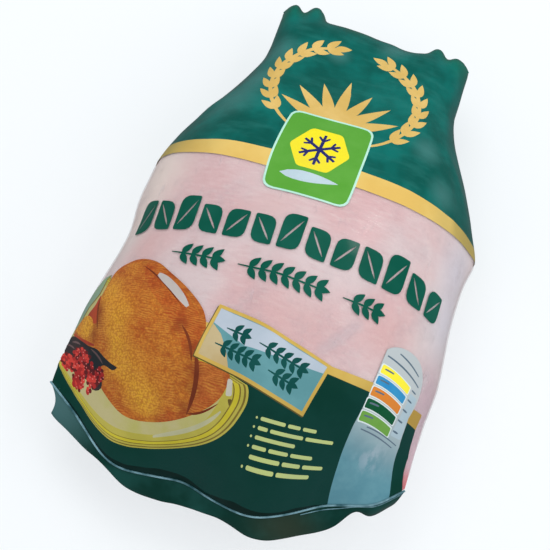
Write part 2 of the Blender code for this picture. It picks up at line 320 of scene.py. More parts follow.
class Sheet:
    """Where the flat sheet lies once it is round the bird."""

    ROWS, TURNS, PLACES = 160, 1201, 601

    def __init__(self):
        self.rows = np.linspace(0.0, 1.0, self.ROWS)
        away = np.linspace(-math.pi, math.pi, self.TURNS)
        rows = self.rows[:, None] * np.ones_like(away)
        points = bag_points(rows, (math.pi / 2 - away) * np.ones_like(rows))
        steps = 1000 * np.linalg.norm(np.diff(points, axis=1), axis=2)
        arcs = np.concatenate([np.zeros((self.ROWS, 1)), np.cumsum(steps, axis=1)], axis=1)
        arcs -= arcs[:, self.TURNS // 2][:, None]
        self.left, self.right = -arcs[:, 0], arcs[:, -1]
        shares = np.linspace(-1.0, 1.0, self.PLACES)
        self.away = np.array([
            np.interp(np.where(shares < 0, shares * left, shares * right), arc, away)
            for left, right, arc in zip(self.left, self.right, arcs)
        ])

    def half_round(self, s, t):
        """Half the way round the bag at t, on the side that s is on."""
        place = (t - T_WELD) / (T_LEGS - T_WELD)
        left, right = (np.interp(place, self.rows, side) for side in (self.left, self.right))
        return np.where(s < 0, left, right)

    def flat(self, outline):
        """An outline in (s, t) as it is on the flat sheet, where every row is equally wide."""
        s, t = np.asarray(outline, float).T
        across = np.clip(s / self.half_round(s, t), -1.0, 1.0) * HALF_SHEET
        return np.stack([across, np.clip(t, T_WELD, T_LEGS)], axis=1)

    def on_bag(self, flat):
        """Points of the flat sheet where they lie on the bag."""
        row = (flat[:, 1] - T_WELD) / (T_LEGS - T_WELD) * (self.ROWS - 1)
        column = (flat[:, 0] / HALF_SHEET + 1) / 2 * (self.PLACES - 1)
        r = np.clip(row.astype(int), 0, self.ROWS - 2)
        c = np.clip(column.astype(int), 0, self.PLACES - 2)
        fr, fc = row - r, column - c
        near = self.away[r, c] * (1 - fc) + self.away[r, c + 1] * fc
        far = self.away[r + 1, c] * (1 - fc) + self.away[r + 1, c + 1] * fc
        return bag_points(row / (self.ROWS - 1), math.pi / 2 - (near * (1 - fr) + far * fr))

    def place(self, flat):
        """(s, t) of points of the flat sheet."""
        share = flat[:, 0] / HALF_SHEET
        return np.stack([share * self.half_round(flat[:, 0], flat[:, 1]), flat[:, 1]], axis=1)


sheet = Sheet()


# Outlines, in (s, t)

def evenly(steps):
    """From 0 to 1 in even steps."""
    return [i / steps for i in range(steps + 1)]


def heading(degrees):
    return Vector((math.cos(math.radians(degrees)), math.sin(math.radians(degrees))))


def leftward(ahead):
    return Vector((-ahead[1], ahead[0])).normalized()


def bend(start, pull, end, steps=16):
    """A curve from start to end, drawn towards pull."""
    a, b, c = Vector(start), Vector(pull), Vector(end)
    return [(1 - f) ** 2 * a + 2 * f * (1 - f) * b + f * f * c for f in evenly(steps)]


def rounded(corners, radii):
    """A polygon with its corners rounded, by one radius or by one for each."""
    corners = [Vector(c) for c in corners]
    outline = []
    for i, corner in enumerate(corners):
        radius = radii[i] if isinstance(radii, (list, tuple)) else radii
        back, ahead = corners[i - 1] - corner, corners[(i + 1) % len(corners)] - corner
        half = back.angle(ahead) / 2
        reach = min(radius / math.tan(half), 0.5 * back.length, 0.5 * ahead.length)
        outline += bend(corner + back.normalized() * reach, corner, corner + ahead.normalized() * reach, 4)
    return outline


def curve_round(points, steps=6):
    """A smooth closed curve through points."""
    points = [Vector(p) for p in points]
    outline = []
    for i in range(len(points)):
        a, b, c, d = (points[(i + k) % len(points)] for k in (-1, 0, 1, 2))
        slope, turn, twist = c - a, 2 * a - 5 * b + 4 * c - d, 3 * b - a - 3 * c + d
        outline += [0.5 * (2 * b + slope * f + turn * f * f + twist * f**3) for f in evenly(steps)[:-1]]
    return outline


def ellipse(centre, radii, sides):
    return [Vector(centre) + Vector(radii) * heading(360 * f) for f in evenly(sides)[:-1]]


def stroke(points, width, taper):
    """A brush stroke along points, thinner towards both ends."""
    path = [Vector(p) for p in points]
    left, right = [], []
    for i, point in enumerate(path):
        side = leftward(path[min(i + 1, len(path) - 1)] - path[max(i - 1, 0)])
        full = 1 - taper * abs(2 * i / (len(path) - 1) - 1) ** 3
        left.append(point + side * width / 2 * full)
        right.append(point - side * width / 2 * full)
    return right + left[::-1]


def grain(root, direction, length, width):
    """A grain of oats: a pointed oval, fullest near its root."""
    ahead, side = Vector(direction).normalized(), leftward(direction)
    bulge = [width / 2 * math.sin(math.pi * f**0.75) ** 0.9 for f in evenly(8)]
    spine = [Vector(root) + ahead * length * f for f in evenly(8)]
    one = [p - side * b for p, b in zip(spine, bulge)]
    other = [p + side * b for p, b in zip(spine[1:-1], bulge[1:-1])]
    return one + other[::-1]


# The print, from the bottom layer up

layers = []


def lay(piece, outline):
    """Adds a closed outline in (s, t) to the print, over what is there."""
    layers.append((piece, sheet.flat(outline)))


def lay_curves(piece, curves, taper):
    """Adds curved strokes, each given by its start, pull, end and width."""
    for start, pull, end, width in curves:
        lay(piece, stroke(bend(start, pull, end), width, taper))


BAND_POINTS, BAND_ROUNDS, BAND_FIRST_REACH = 161, 3, 200.0


def band(piece, low, high):
    """A band right round the bag, between two edges given as t for each s."""
    shares = np.linspace(-1.0, 1.0, BAND_POINTS)

    def edge(height):
        t = height(shares * BAND_FIRST_REACH)
        for _ in range(BAND_ROUNDS):
            t = height(shares * sheet.half_round(shares, t))
        return np.stack([shares * HALF_SHEET, np.clip(t, T_WELD, T_LEGS)], axis=1)

    layers.append((piece, np.concatenate([edge(low), edge(high)[::-1]])))


def line_through(points):
    """t for each s along a line through points."""
    places, heights = np.array(points).T
    return lambda s: np.interp(s, places, heights)


# Edges of the gold band, as (s, t)
GOLD_HIGH = ((-170, 55), (-90, 53), (-37, 54), (30, 56.5), (70, 55), (115, 51.5), (150, 49.5))
GOLD_LOW = ((-170, 43.5), (-123, 42.5), (-90, 40.5), (-37, 38), (30, 41), (150, 40.5))


def lay_bands():
    band("green_top", line_through(GOLD_HIGH), lambda s: T_LEGS + 0 * s)
    band("gold_band", line_through(GOLD_LOW), line_through(GOLD_HIGH))


# Lower panel, and the gold line over it
PANEL_LEFT = ((-100, -120), (-140, -134), (-172, -134), (-200, -138), (-200, T_WELD))
PANEL_RIGHT = ((139, T_WELD), (137, -180), (136.5, -172), (140, -159), (143.5, -140), (145, -129))
GOLD_LINE_TOP = ((148.5, -111), (132, -109.5), (88, -98.5), (54, -95.5), (0, -92), (-60, -90))
GOLD_LINE_LOW = ((-60, -98), (0, -99), (53, -101.5), (87, -106.5), (131, -124), (145, -129))

# Painted fold shade by the weld: where it runs in s, its foot, mean height and waver, and how it thins at its
# ends
FOLD_SHADE_FROM, FOLD_SHADE_TO, FOLD_SHADE_POINTS = -150.0, 79.0, 90
FOLD_SHADE_FOOT, FOLD_SHADE_HIGH, FOLD_SHADE_WAVER = T_WELD + 0.4, 2.3, 1.1
FOLD_SHADE_WAVE, FOLD_SHADE_SLOW_WAVE, FOLD_SHADE_SWING = 13.0, 29.0, 1.3
FOLD_SHADE_END, FOLD_SHADE_LEAST = 20.0, 0.05


def lay_panel():
    lay("green_panel", PANEL_RIGHT + GOLD_LINE_LOW[::-1] + PANEL_LEFT)
    places = np.linspace(FOLD_SHADE_FROM, FOLD_SHADE_TO, FOLD_SHADE_POINTS)
    swing = FOLD_SHADE_SWING * np.sin(places / FOLD_SHADE_SLOW_WAVE)
    heights = FOLD_SHADE_HIGH + FOLD_SHADE_WAVER * np.sin(places / FOLD_SHADE_WAVE + swing)
    for from_end in (FOLD_SHADE_TO - places, places - FOLD_SHADE_FROM):
        heights = heights * np.clip(from_end / FOLD_SHADE_END, FOLD_SHADE_LEAST, 1.0)
    foot = [(s, FOLD_SHADE_FOOT) for s in places]
    top = [(s, FOLD_SHADE_FOOT + height) for s, height in zip(places, heights)]
    # A dark band of painted shade, where the fold by the weld would cast it
    lay("panel_fold_shade", foot + top[::-1])
    lay("gold_line", GOLD_LINE_LOW + GOLD_LINE_TOP)


# Picture of a roast on a plate. The plate's rim is drawn as rings about a place near its left end.
PLATE = ((-8, -121), (1.5, -123.5), (4.5, -132), (2.5, -141), (-3, -151.5), (-12, -160), (-28, -168.5),
         (-49, -175), (-76, -179), (-107, -181.5), (-130, -181), (-150, -177.5), (-166, -170), (-178, -160),
         (-186, -146), (-184, -128), (-174, -110), (-160, -88), (-148, -72), (-136, -70), (-120, -90))
PLATE_MIDDLE = Vector((-137.0, -142.0))
PLATE_RINGS = (("plate_rim", 1.0), ("plate_line", 0.988), ("plate_rim", 0.978), ("plate_line", 0.962),
               ("plate_gold", 0.955), ("plate_line", 0.930), ("plate_rim", 0.924), ("plate_well", 0.865))
PLATE_FAR = ((-137, -67), (-141, -71), (-141, -79.5), (-142, -88.5), (-146, -96.5), (-151, -103.5),
             (-155, -112.5), (-158, -124), (-176, -134), (-180, -116), (-172, -98), (-160, -82), (-148, -70))
RIM_LINE_POINTS, RIM_LINE_WIDTH = 8, 2.0
GLEAM_TAPER, WING_TAPER, FOLD_TAPER = 0.6, 0.7, 0.9
PLATE_GLEAMS = (((-12, -143), (-22, -158), (-57, -170.5), 2.8),)

ROAST = ((-107, -52), (-92, -54), (-78, -61), (-60, -71), (-44, -84), (-38, -100), (-39, -118), (-14, -119),
         (-13, -131), (-20, -142), (-37, -154), (-58, -163.5), (-82, -168), (-104, -165.5), (-119, -160),
         (-128, -152), (-138, -145), (-150, -141), (-163, -138), (-164, -128), (-154, -121), (-143, -116),
         (-139, -104), (-138, -90), (-136, -76), (-132, -63), (-121, -55.5))
ROAST_MIDDLE, ROAST_FACE = Vector((-112.0, -98.0)), 0.945
ROAST_SHAPES = (
    ("roast_deep", ((-100, -54), (-80, -61), (-62, -74), (-46, -88), (-40, -104), (-48, -118), (-58, -104),
                    (-80, -86), (-98, -70))),
    ("roast_leg", ((-40, -119), (-27, -118), (-14, -121), (-14, -131), (-22, -141), (-36, -149),
                   (-36, -134))),
    ("roast_red", ((-139, -90), (-142, -102), (-149, -114), (-141, -119), (-134, -119), (-135, -106))),
    ("roast_gold", ((-163, -132), (-159, -121), (-150, -114), (-140, -117), (-137, -129), (-146, -136))),
)
ROAST_FOLDS = (
    ((-57, -98), (-46, -106), (-42, -120), 2.2),
    ((-42, -112), (-31, -128), (-36, -152), 3.6),
    ((-36, -151), (-26, -150), (-15, -139), 1.4),
    ((-138, -94), (-136, -110), (-131, -124), 2.2),
    ((-104, -58), (-84, -66), (-62, -84), 1.4),
)
WING_EDGES = (((-130, -138), (-146, -141), (-164, -137), 3.4),)
ROAST_GLEAMS = (((-88, -63.5), (-73, -69.5), (-57, -83.5), 6.4),)
BONE, BONE_ROUND = ((-13, -122.5), (-9.4, -123), (-7, -132.5), (-11.5, -133.5)), 1.6
BONE_SHADOW, BONE_SHADOW_ROUND = ((-9.5, -134.8), (-6.2, -134.2), (-7, -139.5)), 0.8

# Herbs under the berries, and the bunches of berries as (s, t, half width, half height)
HERBS = ((-172, -148), (-164, -139.5), (-149, -140), (-137, -141), (-126, -140), (-117, -142.5), (-108, -144),
         (-101, -144.5), (-105, -148), (-113, -148), (-117, -151), (-113, -157), (-111, -164), (-118, -168),
         (-128, -166), (-140, -168), (-156, -169), (-170, -162))
HERB_LIGHTS = (
    ((-160, -146), (-154, -143), (-147, -144), 2.0),
    ((-166, -152), (-160, -149), (-152, -151), 1.8),
    ((-133, -142.5), (-124, -143), (-116, -148), 1.6),
)
BUNCHES = ((-153.0, -165.0, 10.5, 6.5), (-141.0, -152.5, 11.0, 7.0), (-139.0, -161.5, 11.0, 6.0),
           (-135.0, -169.5, 7.0, 7.0), (-122.0, -165.0, 5.0, 8.0))
DARK_BUNCHES = ((-116.5, -158.0, 5.0, 7.0), (-127.0, -157.0, 4.0, 6.0))
BRIGHT_BERRIES = ("berries_mid", "berries_light", "berries_deep", "berries_mid", "berries_light")
DARK_BERRIES = ("berries_deep", "berries_deep", "berries_mid")
BERRY_RADIUS, BERRY_PITCH, BERRY_HIGH = 2.1, 3.1, 0.82
BERRIES_ACROSS = 8
BERRY_STRAY, LEAST_BERRY, MOST_BERRY = (0.7, 0.5), 0.75, 1.15
GLEAM_SHARE, GLEAM_PLACE, GLEAM_RADII = 0.35, Vector((0.5, 0.6)), (0.65, 0.5)


def bunch(s, t, wide, high, shades):
    """Berries in staggered rows that fill an oval, each a little out of place, some with a gleam."""
    rows = int(2 * high / (BERRY_PITCH * BERRY_HIGH)) + 1
    for row in range(rows):
        up = -high + (row + 0.5) * 2 * high / rows
        half = wide * math.sqrt(max(0.0, 1 - (up / high) ** 2))
        for step in range(-BERRIES_ACROSS, BERRIES_ACROSS + 1):
            across = (step + 0.5 * (row % 2)) * BERRY_PITCH
            if abs(across) > half:
                continue
            stray = [random.uniform(-most, most) for most in BERRY_STRAY]
            at = Vector((s + across, t + up)) + Vector(stray)
            size = BERRY_RADIUS * random.uniform(LEAST_BERRY, MOST_BERRY)
            lay(random.choice(shades), ellipse(at, (size, size * BERRY_HIGH), 10))
            if random.random() < GLEAM_SHARE:
                lay("berry_gleam", ellipse(at + GLEAM_PLACE, GLEAM_RADII, 6))


def lay_picture():
    for piece, share in PLATE_RINGS:
        lay(piece, [PLATE_MIDDLE.lerp(p, share) for p in curve_round(PLATE)])
    lay("plate_far", curve_round(PLATE_FAR, 3))
    lay("plate_line", stroke(PLATE_FAR[:RIM_LINE_POINTS], RIM_LINE_WIDTH, GLEAM_TAPER))
    lay_curves("plate_gleam", PLATE_GLEAMS, GLEAM_TAPER)
    roast = curve_round(ROAST)
    lay("roast_edge", roast)
    lay("roast_skin", [ROAST_MIDDLE.lerp(p, ROAST_FACE) for p in roast])
    for piece, points in ROAST_SHAPES:
        lay(piece, curve_round(points))
    lay_curves("roast_fold", ROAST_FOLDS, FOLD_TAPER)
    lay_curves("roast_red", WING_EDGES, WING_TAPER)
    lay_curves("roast_gleam", ROAST_GLEAMS, GLEAM_TAPER)
    lay("roast_bone", rounded(BONE, BONE_ROUND))
    lay("plate_shadow", rounded(BONE_SHADOW, BONE_SHADOW_ROUND))
    lay("herb_leaf", curve_round(HERBS, 3))
    lay_curves("herb_light", HERB_LIGHTS, FOLD_TAPER)
    for place in DARK_BUNCHES:
        bunch(*place, DARK_BERRIES)
    for place in BUNCHES:
        bunch(*place, BRIGHT_BERRIES)


# Row of large leaves across the breast, between a low and a high line. Every fourth one is taller.
LEAVES_FROM, LEAVES_TO, LEAF_COUNT, LEAF_GAP = -132.5, 130.0, 13, 4.2
LEAVES_LOW = ((-132, -28.5), (-110, -25.8), (-75, -24.8), (0, -24.6), (60, -25.5), (104, -27.3), (130, -31))
LEAVES_HIGH = ((-132, 1), (-110, -1), (-100, -2.5), (-20, -2), (60, -1), (100, -4.3), (130, -8.5))
TALLER_BY, FIRST_TALLER, TALLER_EVERY = 6.0, 2, 4
LEAF_TIGHT, LEAF_ROUND = 0.10, 0.85
VEIN_WIDTH, VEIN_TAPER, VEIN_PLACES = 1.5, 0.8, (0.16, 0.3, 0.5, 0.7, 0.86)


def leaf(corners, flip):
    """A leaf drawn as a block with two opposite corners rounded off, and a bare vein."""
    width = corners[1][0] - corners[0][0]
    tight, wide = LEAF_TIGHT * width, LEAF_ROUND * width
    lay("green_leaves", rounded(corners, [tight, wide, tight, wide] if flip else [wide, tight, wide, tight]))
    a, b = (Vector(corners[i]) for i in ((0, 2) if flip else (1, 3)))
    lay("clear_film", stroke([a.lerp(b, f) for f in VEIN_PLACES], VEIN_WIDTH, VEIN_TAPER))


def lay_leaves():
    pitch = (LEAVES_TO - LEAVES_FROM + LEAF_GAP) / LEAF_COUNT
    low, high = line_through(LEAVES_LOW), line_through(LEAVES_HIGH)
    for index in range(LEAF_COUNT):
        left = LEAVES_FROM + index * pitch
        right = left + pitch - LEAF_GAP
        taller = TALLER_BY if index % TALLER_EVERY == FIRST_TALLER else 0.0
        top_right, top_left = (right, high(right) + taller), (left, high(left) + taller)
        leaf(((left, low(left)), (right, low(right)), top_right, top_left), index % 2 == 0)


# Rows of twigs: one under the large leaves, and two on the label
TWIG_LEAN, TWIG_STEM, STEM_TAPER = 0.85, 1.5, 0.5
TWIG_ROW = {"start": (-84.0, -43.5), "end": (84.0, -44.5), "leaves": (5, 8, 4), "gap": 0.045, "length": 10.6,
            "width": 5.4}


def twig(piece, stem, length, width, stem_width, lean, every=2):
    """A stem with pairs of pointed leaves that lean ahead along it."""
    lay(piece, stroke(stem, stem_width, STEM_TAPER))
    stem = [Vector(p) for p in stem]
    for at in range(1, len(stem) - 1, every):
        ahead = (stem[at + 1] - stem[at - 1]).normalized()
        for turn in (-lean, lean):
            root = stem[at] + leftward(ahead) * math.copysign(stem_width / 3, turn)
            lay(piece, grain(root, Matrix.Rotation(turn, 2) @ ahead, length, width))
    lay(piece, grain(stem[-2], stem[-1] - stem[-2], length, width))


def twig_row(piece, start, end, leaves, gap, length, width, sag=0.0):
    """Twigs one after another from start to end, each with its own count of leaf pairs."""
    start, end = Vector(start), Vector(end)
    along_row = end - start
    share = (1.0 - gap * (len(leaves) - 1)) / sum(leaves)
    at = 0.0
    for count in leaves:
        places = [at + share * count * i / (count + 0.5) for i in range(count + 1)]
        stem = [start + along_row * f + leftward(along_row) * sag * 4 * f * (1 - f) for f in places]
        twig(piece, stem, length, width, TWIG_STEM, TWIG_LEAN, 1)
        at += share * count + gap


# Label across the panel's edge. Places on it run from 0 to 1 to the right (u) and up (v). Its rows of twigs
# are (from u, to u, v, pairs of leaves), with their gap and their leaves' length and width.
LABEL = tuple(Vector(c) for c in ((-41.5, -115.5), (45, -133.5), (55, -95.5), (-34.5, -75.5)))
LABEL_BOW = 2.7
LABEL_SHADOW = (-0.007, -0.022, 0.998, 0.96)
LABEL_FRAME = (0, 0, 1, 1)
LABEL_FIELD = (0.026, 0.060, 0.974, 0.940)
LABEL_LILAC = ((0.026, 0.66), (0.34, 0.50), (0.62, 0.62), (0.974, 0.80), (0.974, 0.94), (0.5, 0.94),
               (0.026, 0.94))
LABEL_PEACH = ((0.026, 0.06), (0.30, 0.06), (0.22, 0.30), (0.12, 0.52), (0.026, 0.64))
LABEL_ROWS = ((0.14, 0.90, 0.66, (3, 6)), (0.11, 0.87, 0.34, (6, 4)))
LABEL_TWIG = (0.07, 7.8, 4.1)


def on_label(u, v):
    low_left, low_right, high_right, high_left = LABEL
    place = low_left.lerp(low_right, u).lerp(high_left.lerp(high_right, u), v)
    return place + Vector((0.0, LABEL_BOW * 4 * u * (1 - u)))


def label_patch(left, low, right, high):
    across = [left + (right - left) * f for f in evenly(10)]
    return [on_label(u, low) for u in across] + [on_label(u, high) for u in across[::-1]]


def lay_label():
    lay("label_shadow", label_patch(*LABEL_SHADOW))
    lay("gold_line", label_patch(*LABEL_FRAME))
    lay("label_teal", label_patch(*LABEL_FIELD))
    lay("label_lilac", [on_label(u, v) for u, v in LABEL_LILAC])
    lay("label_peach", [on_label(u, v) for u, v in LABEL_PEACH])
    for left, right, upward, leaves in LABEL_ROWS:
        twig_row("label_grains", on_label(left, upward), on_label(right, upward), leaves, *LABEL_TWIG,
                 sag=LABEL_BOW * (right - left) ** 2)


# Strip of colour bars down the right side
STRIP_LEFT = ((82.5, T_WELD), (80, -168), (84, -133), (89, -97), (92, -68))
STRIP_ENDS = (((92, -68), (98, -61), (110, -61)), ((110, -61), (134.5, -61), (135.5, -88)))
STRIP_RIGHT = ((131.5, -120), (129.5, -148), (126.5, -178), (128, T_WELD))
STRIP_SIDE, SIDE_ROUND = ((118, -138), (129.5, -142), (131, -120), (133.5, -99), (124, -96)), 2.0
BARS = ("bar_yellow", "bar_blue", "bar_orange", "bar_dark", "bar_light")
BAR_LEFT, BAR_RIGHT, BAR_TOP, BAR_HEIGHT = 92.5, 122.0, -80.5, 7.8
BAR_STEP = Vector((-1.3, -10.3))
BAR_DROP, BAR_CURL, BAR_EDGE, BAR_SHEAR, BAR_ROUND = 10.6, 1.6, 0.9, -0.9, 1.6

# Short strokes in each bar, from its top left corner, and beside it, from its top right one
MARK_IN_BAR, MARK_WIDTH = ((2.5, -3.51), (7.0, -3.91), (11.0, -4.81)), 1.5
MARK_BESIDE, MARK_BESIDE_WIDTH = ((2.6, -12.16), (8.1, -14.36)), 1.7
MARK_TAPER = 0.3

# Curved lines over and under the bars, as start, pull, end and width
STRIP_LINE_TAPER = 0.2
STRIP_LINES = (
    ((104, -66.5), (116, -69.5), (128, -77), 1.5),
    ((94, -72.5), (114, -76), (131, -87), 1.6),
    ((95, -133.5), (110, -136.5), (126, -147), 1.1),
    ((90.5, -135.5), (108, -139.5), (122, -149), 1.1),
)


def bar(left, right, top, wider=0.0):
    """A bar that drops to the right as the film curls round the breast."""
    width = right - left + 2 * wider
    high = [(left - wider + width * f, top + wider - BAR_DROP * f**BAR_CURL) for f in evenly(10)]
    low = [(s + BAR_SHEAR, t - BAR_HEIGHT - 2 * wider) for s, t in high]
    return rounded(low + high[::-1], BAR_ROUND)


def lay_strip():
    ends = [p for end in STRIP_ENDS for p in bend(*end)[1:]]
    lay("strip_window", [*STRIP_LEFT, *ends, *STRIP_RIGHT])
    lay("strip_side", rounded(STRIP_SIDE, SIDE_ROUND))
    for index, piece in enumerate(BARS):
        top_left = Vector((BAR_LEFT, BAR_TOP)) + BAR_STEP * index
        top_right = Vector((BAR_RIGHT, BAR_TOP)) + BAR_STEP * index
        lay("strip_edge", bar(top_left.x, top_right.x, top_left.y, BAR_EDGE))
        lay(piece, bar(top_left.x, top_right.x, top_left.y))
        in_bar = bend(*(top_left + Vector(p) for p in MARK_IN_BAR))
        lay("strip_marks", stroke(in_bar, MARK_WIDTH, MARK_TAPER))
        start, end = (top_right + Vector(p) for p in MARK_BESIDE)
        beside = [start.lerp(end, f) for f in (0, 0.4, 0.7, 1)]
        lay("strip_marks", stroke(beside, MARK_BESIDE_WIDTH, MARK_TAPER))
    lay_curves("strip_marks", STRIP_LINES, STRIP_LINE_TAPER)


# Rows of pale bars on the panel, by the bars' lengths, with a dot before all but one
PALE_ROWS = ((20, 11, 12), (9, 26, 23), (31,), (12, 16, 18), (24, 15, 17), (22, 26))
ROW_WITHOUT_DOT = 4
FIRST_ROW, ROW_PITCH = Vector((16.5, -140.2)), Vector((-0.4, -5.6))
ROW_HEIGHT, ROW_TILT, ROW_GAP, ROW_ROUND = 2.3, -0.035, 1.8, 1.2
DOT_BEFORE, DOT_RADIUS = 2.8, 0.8


def lay_rows():
    turn = Matrix.Rotation(ROW_TILT, 2)
    for index, lengths in enumerate(PALE_ROWS):
        left, middle = FIRST_ROW + ROW_PITCH * index
        if index != ROW_WITHOUT_DOT:
            lay("pale_rows", ellipse((left - DOT_BEFORE, middle), (DOT_RADIUS, DOT_RADIUS), 8))
        low = middle - ROW_HEIGHT / 2
        for length in lengths:
            width = length - ROW_GAP
            corners = ((0, 0), (width, 0), (width, ROW_HEIGHT), (0, ROW_HEIGHT))
            lay("pale_rows", rounded([Vector((left, low)) + turn @ Vector(p) for p in corners], ROW_ROUND))
            low += ROW_TILT * length
            left += length


# Badge with a snowflake on a hexagon, over a plain leaf given as (root, direction, length, width). The flake
# is three spines with two tips at each end.
BADGE, BADGE_ROUND = ((-34.8, 19.6), (30.6, 20.2), (29.0, 98.4), (-35.6, 98.4)), 9.5
BADGE_EDGE, BADGE_FIELD_ROUND = 1.5, 8.5
BADGE_LEAF = ((-25.0, 35.5), (1, 0.05), 44.0, 9.5)
HEXAGON_MIDDLE, HEXAGON_RADIUS, HEXAGON_ROUND = Vector((-3.5, 64.5)), 23.0, 5.0
FLAKE_RADIUS, FLAKE_WIDTH, FLAKE_TAPER = 15.5, 2.6, 0.2
TIP_FROM, TIP_TURN, TIP_LENGTH, TIP_WIDTH = 0.55, 0.75, 6.0, 1.9


def inset(corners, by):
    """A four-cornered shape drawn in by the same distance all round."""
    points = [Vector(c) for c in corners]
    moved = []
    for i, point in enumerate(points):
        a = (points[i - 1] - point).normalized()
        b = (points[(i + 1) % len(points)] - point).normalized()
        moved.append(point + (a + b) * by / math.sin(a.angle(b)))
    return moved


def lay_badge():
    lay("badge_edge", rounded(BADGE, BADGE_ROUND))
    lay("badge_green", rounded(inset(BADGE, BADGE_EDGE), BADGE_FIELD_ROUND))
    lay("badge_pale", grain(*BADGE_LEAF))
    corners = [HEXAGON_MIDDLE + HEXAGON_RADIUS * heading(degrees) for degrees in range(0, 360, 60)]
    lay("badge_yellow", rounded(corners, HEXAGON_ROUND))
    for index in range(6):
        arm = heading(30 + 60 * index)
        if index < 3:
            spine = [HEXAGON_MIDDLE + arm * FLAKE_RADIUS * f for f in (-1, -0.5, 0, 0.5, 1)]
            lay("badge_flake", stroke(spine, FLAKE_WIDTH, FLAKE_TAPER))
        start = HEXAGON_MIDDLE + arm * FLAKE_RADIUS * TIP_FROM
        for turn in (-TIP_TURN, TIP_TURN):
            ahead = Matrix.Rotation(turn, 2) @ arm
            tip = [start + ahead * TIP_LENGTH * f for f in (0, 0.3, 0.7, 1)]
            lay("badge_flake", stroke(tip, TIP_WIDTH, FLAKE_TAPER))


# Gold wreath of oats behind the badge, open at the top. The fan of leaves in it is (degrees, length, width).
WREATH_MIDDLE, WREATH_RADII = Vector((-2.5, 124.0)), (57.0, 50.0)
WREATH_FROM, WREATH_TO, WREATH_POINTS, BARE_POINTS = -64, 74, 23, 3
WREATH_STEM, WREATH_LEAN, OAT_LENGTH, OAT_WIDTH = 3.0, 0.42, 13.5, 5.6
FAN_ROOT, FAN_CLEAR = Vector((-2.5, 90.0)), 3.0
FAN = ((22, 46, 9.5), (43, 46, 9.5), (66, 44, 9.0), (90, 50, 9.0))


def lay_wreath():
    for side in (-1, 1):
        radii = Vector((side * WREATH_RADII[0], WREATH_RADII[1]))
        turns = np.linspace(WREATH_FROM, WREATH_TO, WREATH_POINTS)
        stem = [WREATH_MIDDLE + radii * heading(degrees) for degrees in turns]
        lay("gold_sprays", stroke(stem, WREATH_STEM, STEM_TAPER))
        twig("gold_sprays", stem[BARE_POINTS:], OAT_LENGTH, OAT_WIDTH, WREATH_STEM, WREATH_LEAN)
        for degrees, length, width in FAN[:3] if side < 0 else FAN:
            ahead = heading(degrees) * Vector((side, 1))
            lay("gold_sprays", grain(FAN_ROOT + ahead * FAN_CLEAR, ahead, length, width))


def lay_print():
    lay_bands()
    lay_panel()
    lay_picture()
    lay_label()
    lay_strip()
    lay_rows()
    lay_leaves()
    twig_row("green_leaves", **TWIG_ROW)
    lay_wreath()
    lay_badge()


# The film, cut along every outline of the print. The points of its grid keep clear of the outlines, and its
# rows lie closer together at the weld and at the legs.
CLOSEST_POINTS = 0.02
CLEAR_OF_OUTLINES, CLEARANCE_STEP = 0.9, 0.7
WELD_ROWS, WELD_ROWS_REACH, WELD_ROWS_POWER = 13, 20.0, 1.7
LEG_ROWS = 15
SAME_PLACE = 0.01


def stepped(outline, step):
    """A closed outline with points no further apart than step."""
    points = []
    for a, b in zip(outline, np.roll(outline, -1, axis=0)):
        count = max(1, int(math.ceil(np.linalg.norm(b - a) / step)))
        points += [a + (b - a) * i / count for i in range(count)]
    kept = [points[0]]
    for p in points[1:]:
        if np.linalg.norm(p - kept[-1]) > CLOSEST_POINTS:
            kept.append(p)
    if len(kept) > 1 and np.linalg.norm(kept[0] - kept[-1]) < CLOSEST_POINTS:
        kept.pop()
    return np.array(kept)


def row_places():
    """t of the sheet's rows, closer together where the ends turn in."""
    end = 1000 * LEG_END_LENGTH
    weld = [T_WELD + WELD_ROWS_REACH * f**WELD_ROWS_POWER for f in np.linspace(0, 1, WELD_ROWS)]
    middle = np.linspace(weld[-1], T_LEGS - end, int((T_LEGS - end - weld[-1]) / GRID) + 1)[1:-1]
    legs = [T_LEGS - end + end * math.sin(a) for a in np.linspace(0, math.pi / 2, LEG_ROWS)]
    return np.concatenate([weld, middle, legs])


def runs_left(outline):
    """Whether an outline runs anticlockwise."""
    x, y = outline.T
    return np.sum(x * np.roll(y, -1) - np.roll(x, -1) * y) > 0


def cut_sheet():
    """The flat sheet in triangles, with the index of the layer that shows on each (-1 is bare film)."""
    outlines = [stepped(outline, OUTLINE_STEP) for _, outline in layers]
    outlines = [outline if runs_left(outline) else outline[::-1] for outline in outlines]
    guards = np.concatenate([stepped(outline, CLEARANCE_STEP) for outline in outlines])
    tree = KDTree(len(guards))
    for index, (a, t) in enumerate(guards):
        tree.insert((a, t, 0.0), index)
    tree.balance()
    points = []
    for t in row_places():
        for a in np.linspace(-HALF_SHEET, HALF_SHEET, 2 * int(HALF_SHEET / GRID) + 1):
            border = abs(a) == HALF_SHEET or t in (T_WELD, T_LEGS)
            if border or tree.find((a, t, 0.0))[2] > CLEAR_OF_OUTLINES:
                points.append((a, t))
    faces = []
    for outline in outlines:
        faces.append(list(range(len(points), len(points) + len(outline))))
        points += [tuple(p) for p in outline]
    flat, _, triangles, _, _, owners = delaunay_2d_cdt([Vector(p) for p in points], [], faces, 0, 1e-4)
    top = np.array([max(owner) if owner else -1 for owner in owners])
    return np.array([tuple(p) for p in flat]), np.array(triangles), top


def joined_seam(flat, triangles):
    """Triangles with the sheet's two long edges made one, where it closes under the bird."""
    right = {round(t, 3): i for i, (a, t) in enumerate(flat) if a > HALF_SHEET - SAME_PLACE}
    same = np.arange(len(flat))
    for i, (a, t) in enumerate(flat):
        if a < -HALF_SHEET + SAME_PLACE and round(t, 3) in right:
            same[i] = right[round(t, 3)]
    return same[triangles]


def vertex_normals(points, triangles):
    a, b, c = (points[triangles[:, i]] for i in range(3))
    face = np.cross(b - a, c - a)
    normals = np.zeros_like(points)
    for i in range(3):
        np.add.at(normals, triangles[:, i], face)
    return normals / np.maximum(np.linalg.norm(normals, axis=1, keepdims=True), 1e-12)


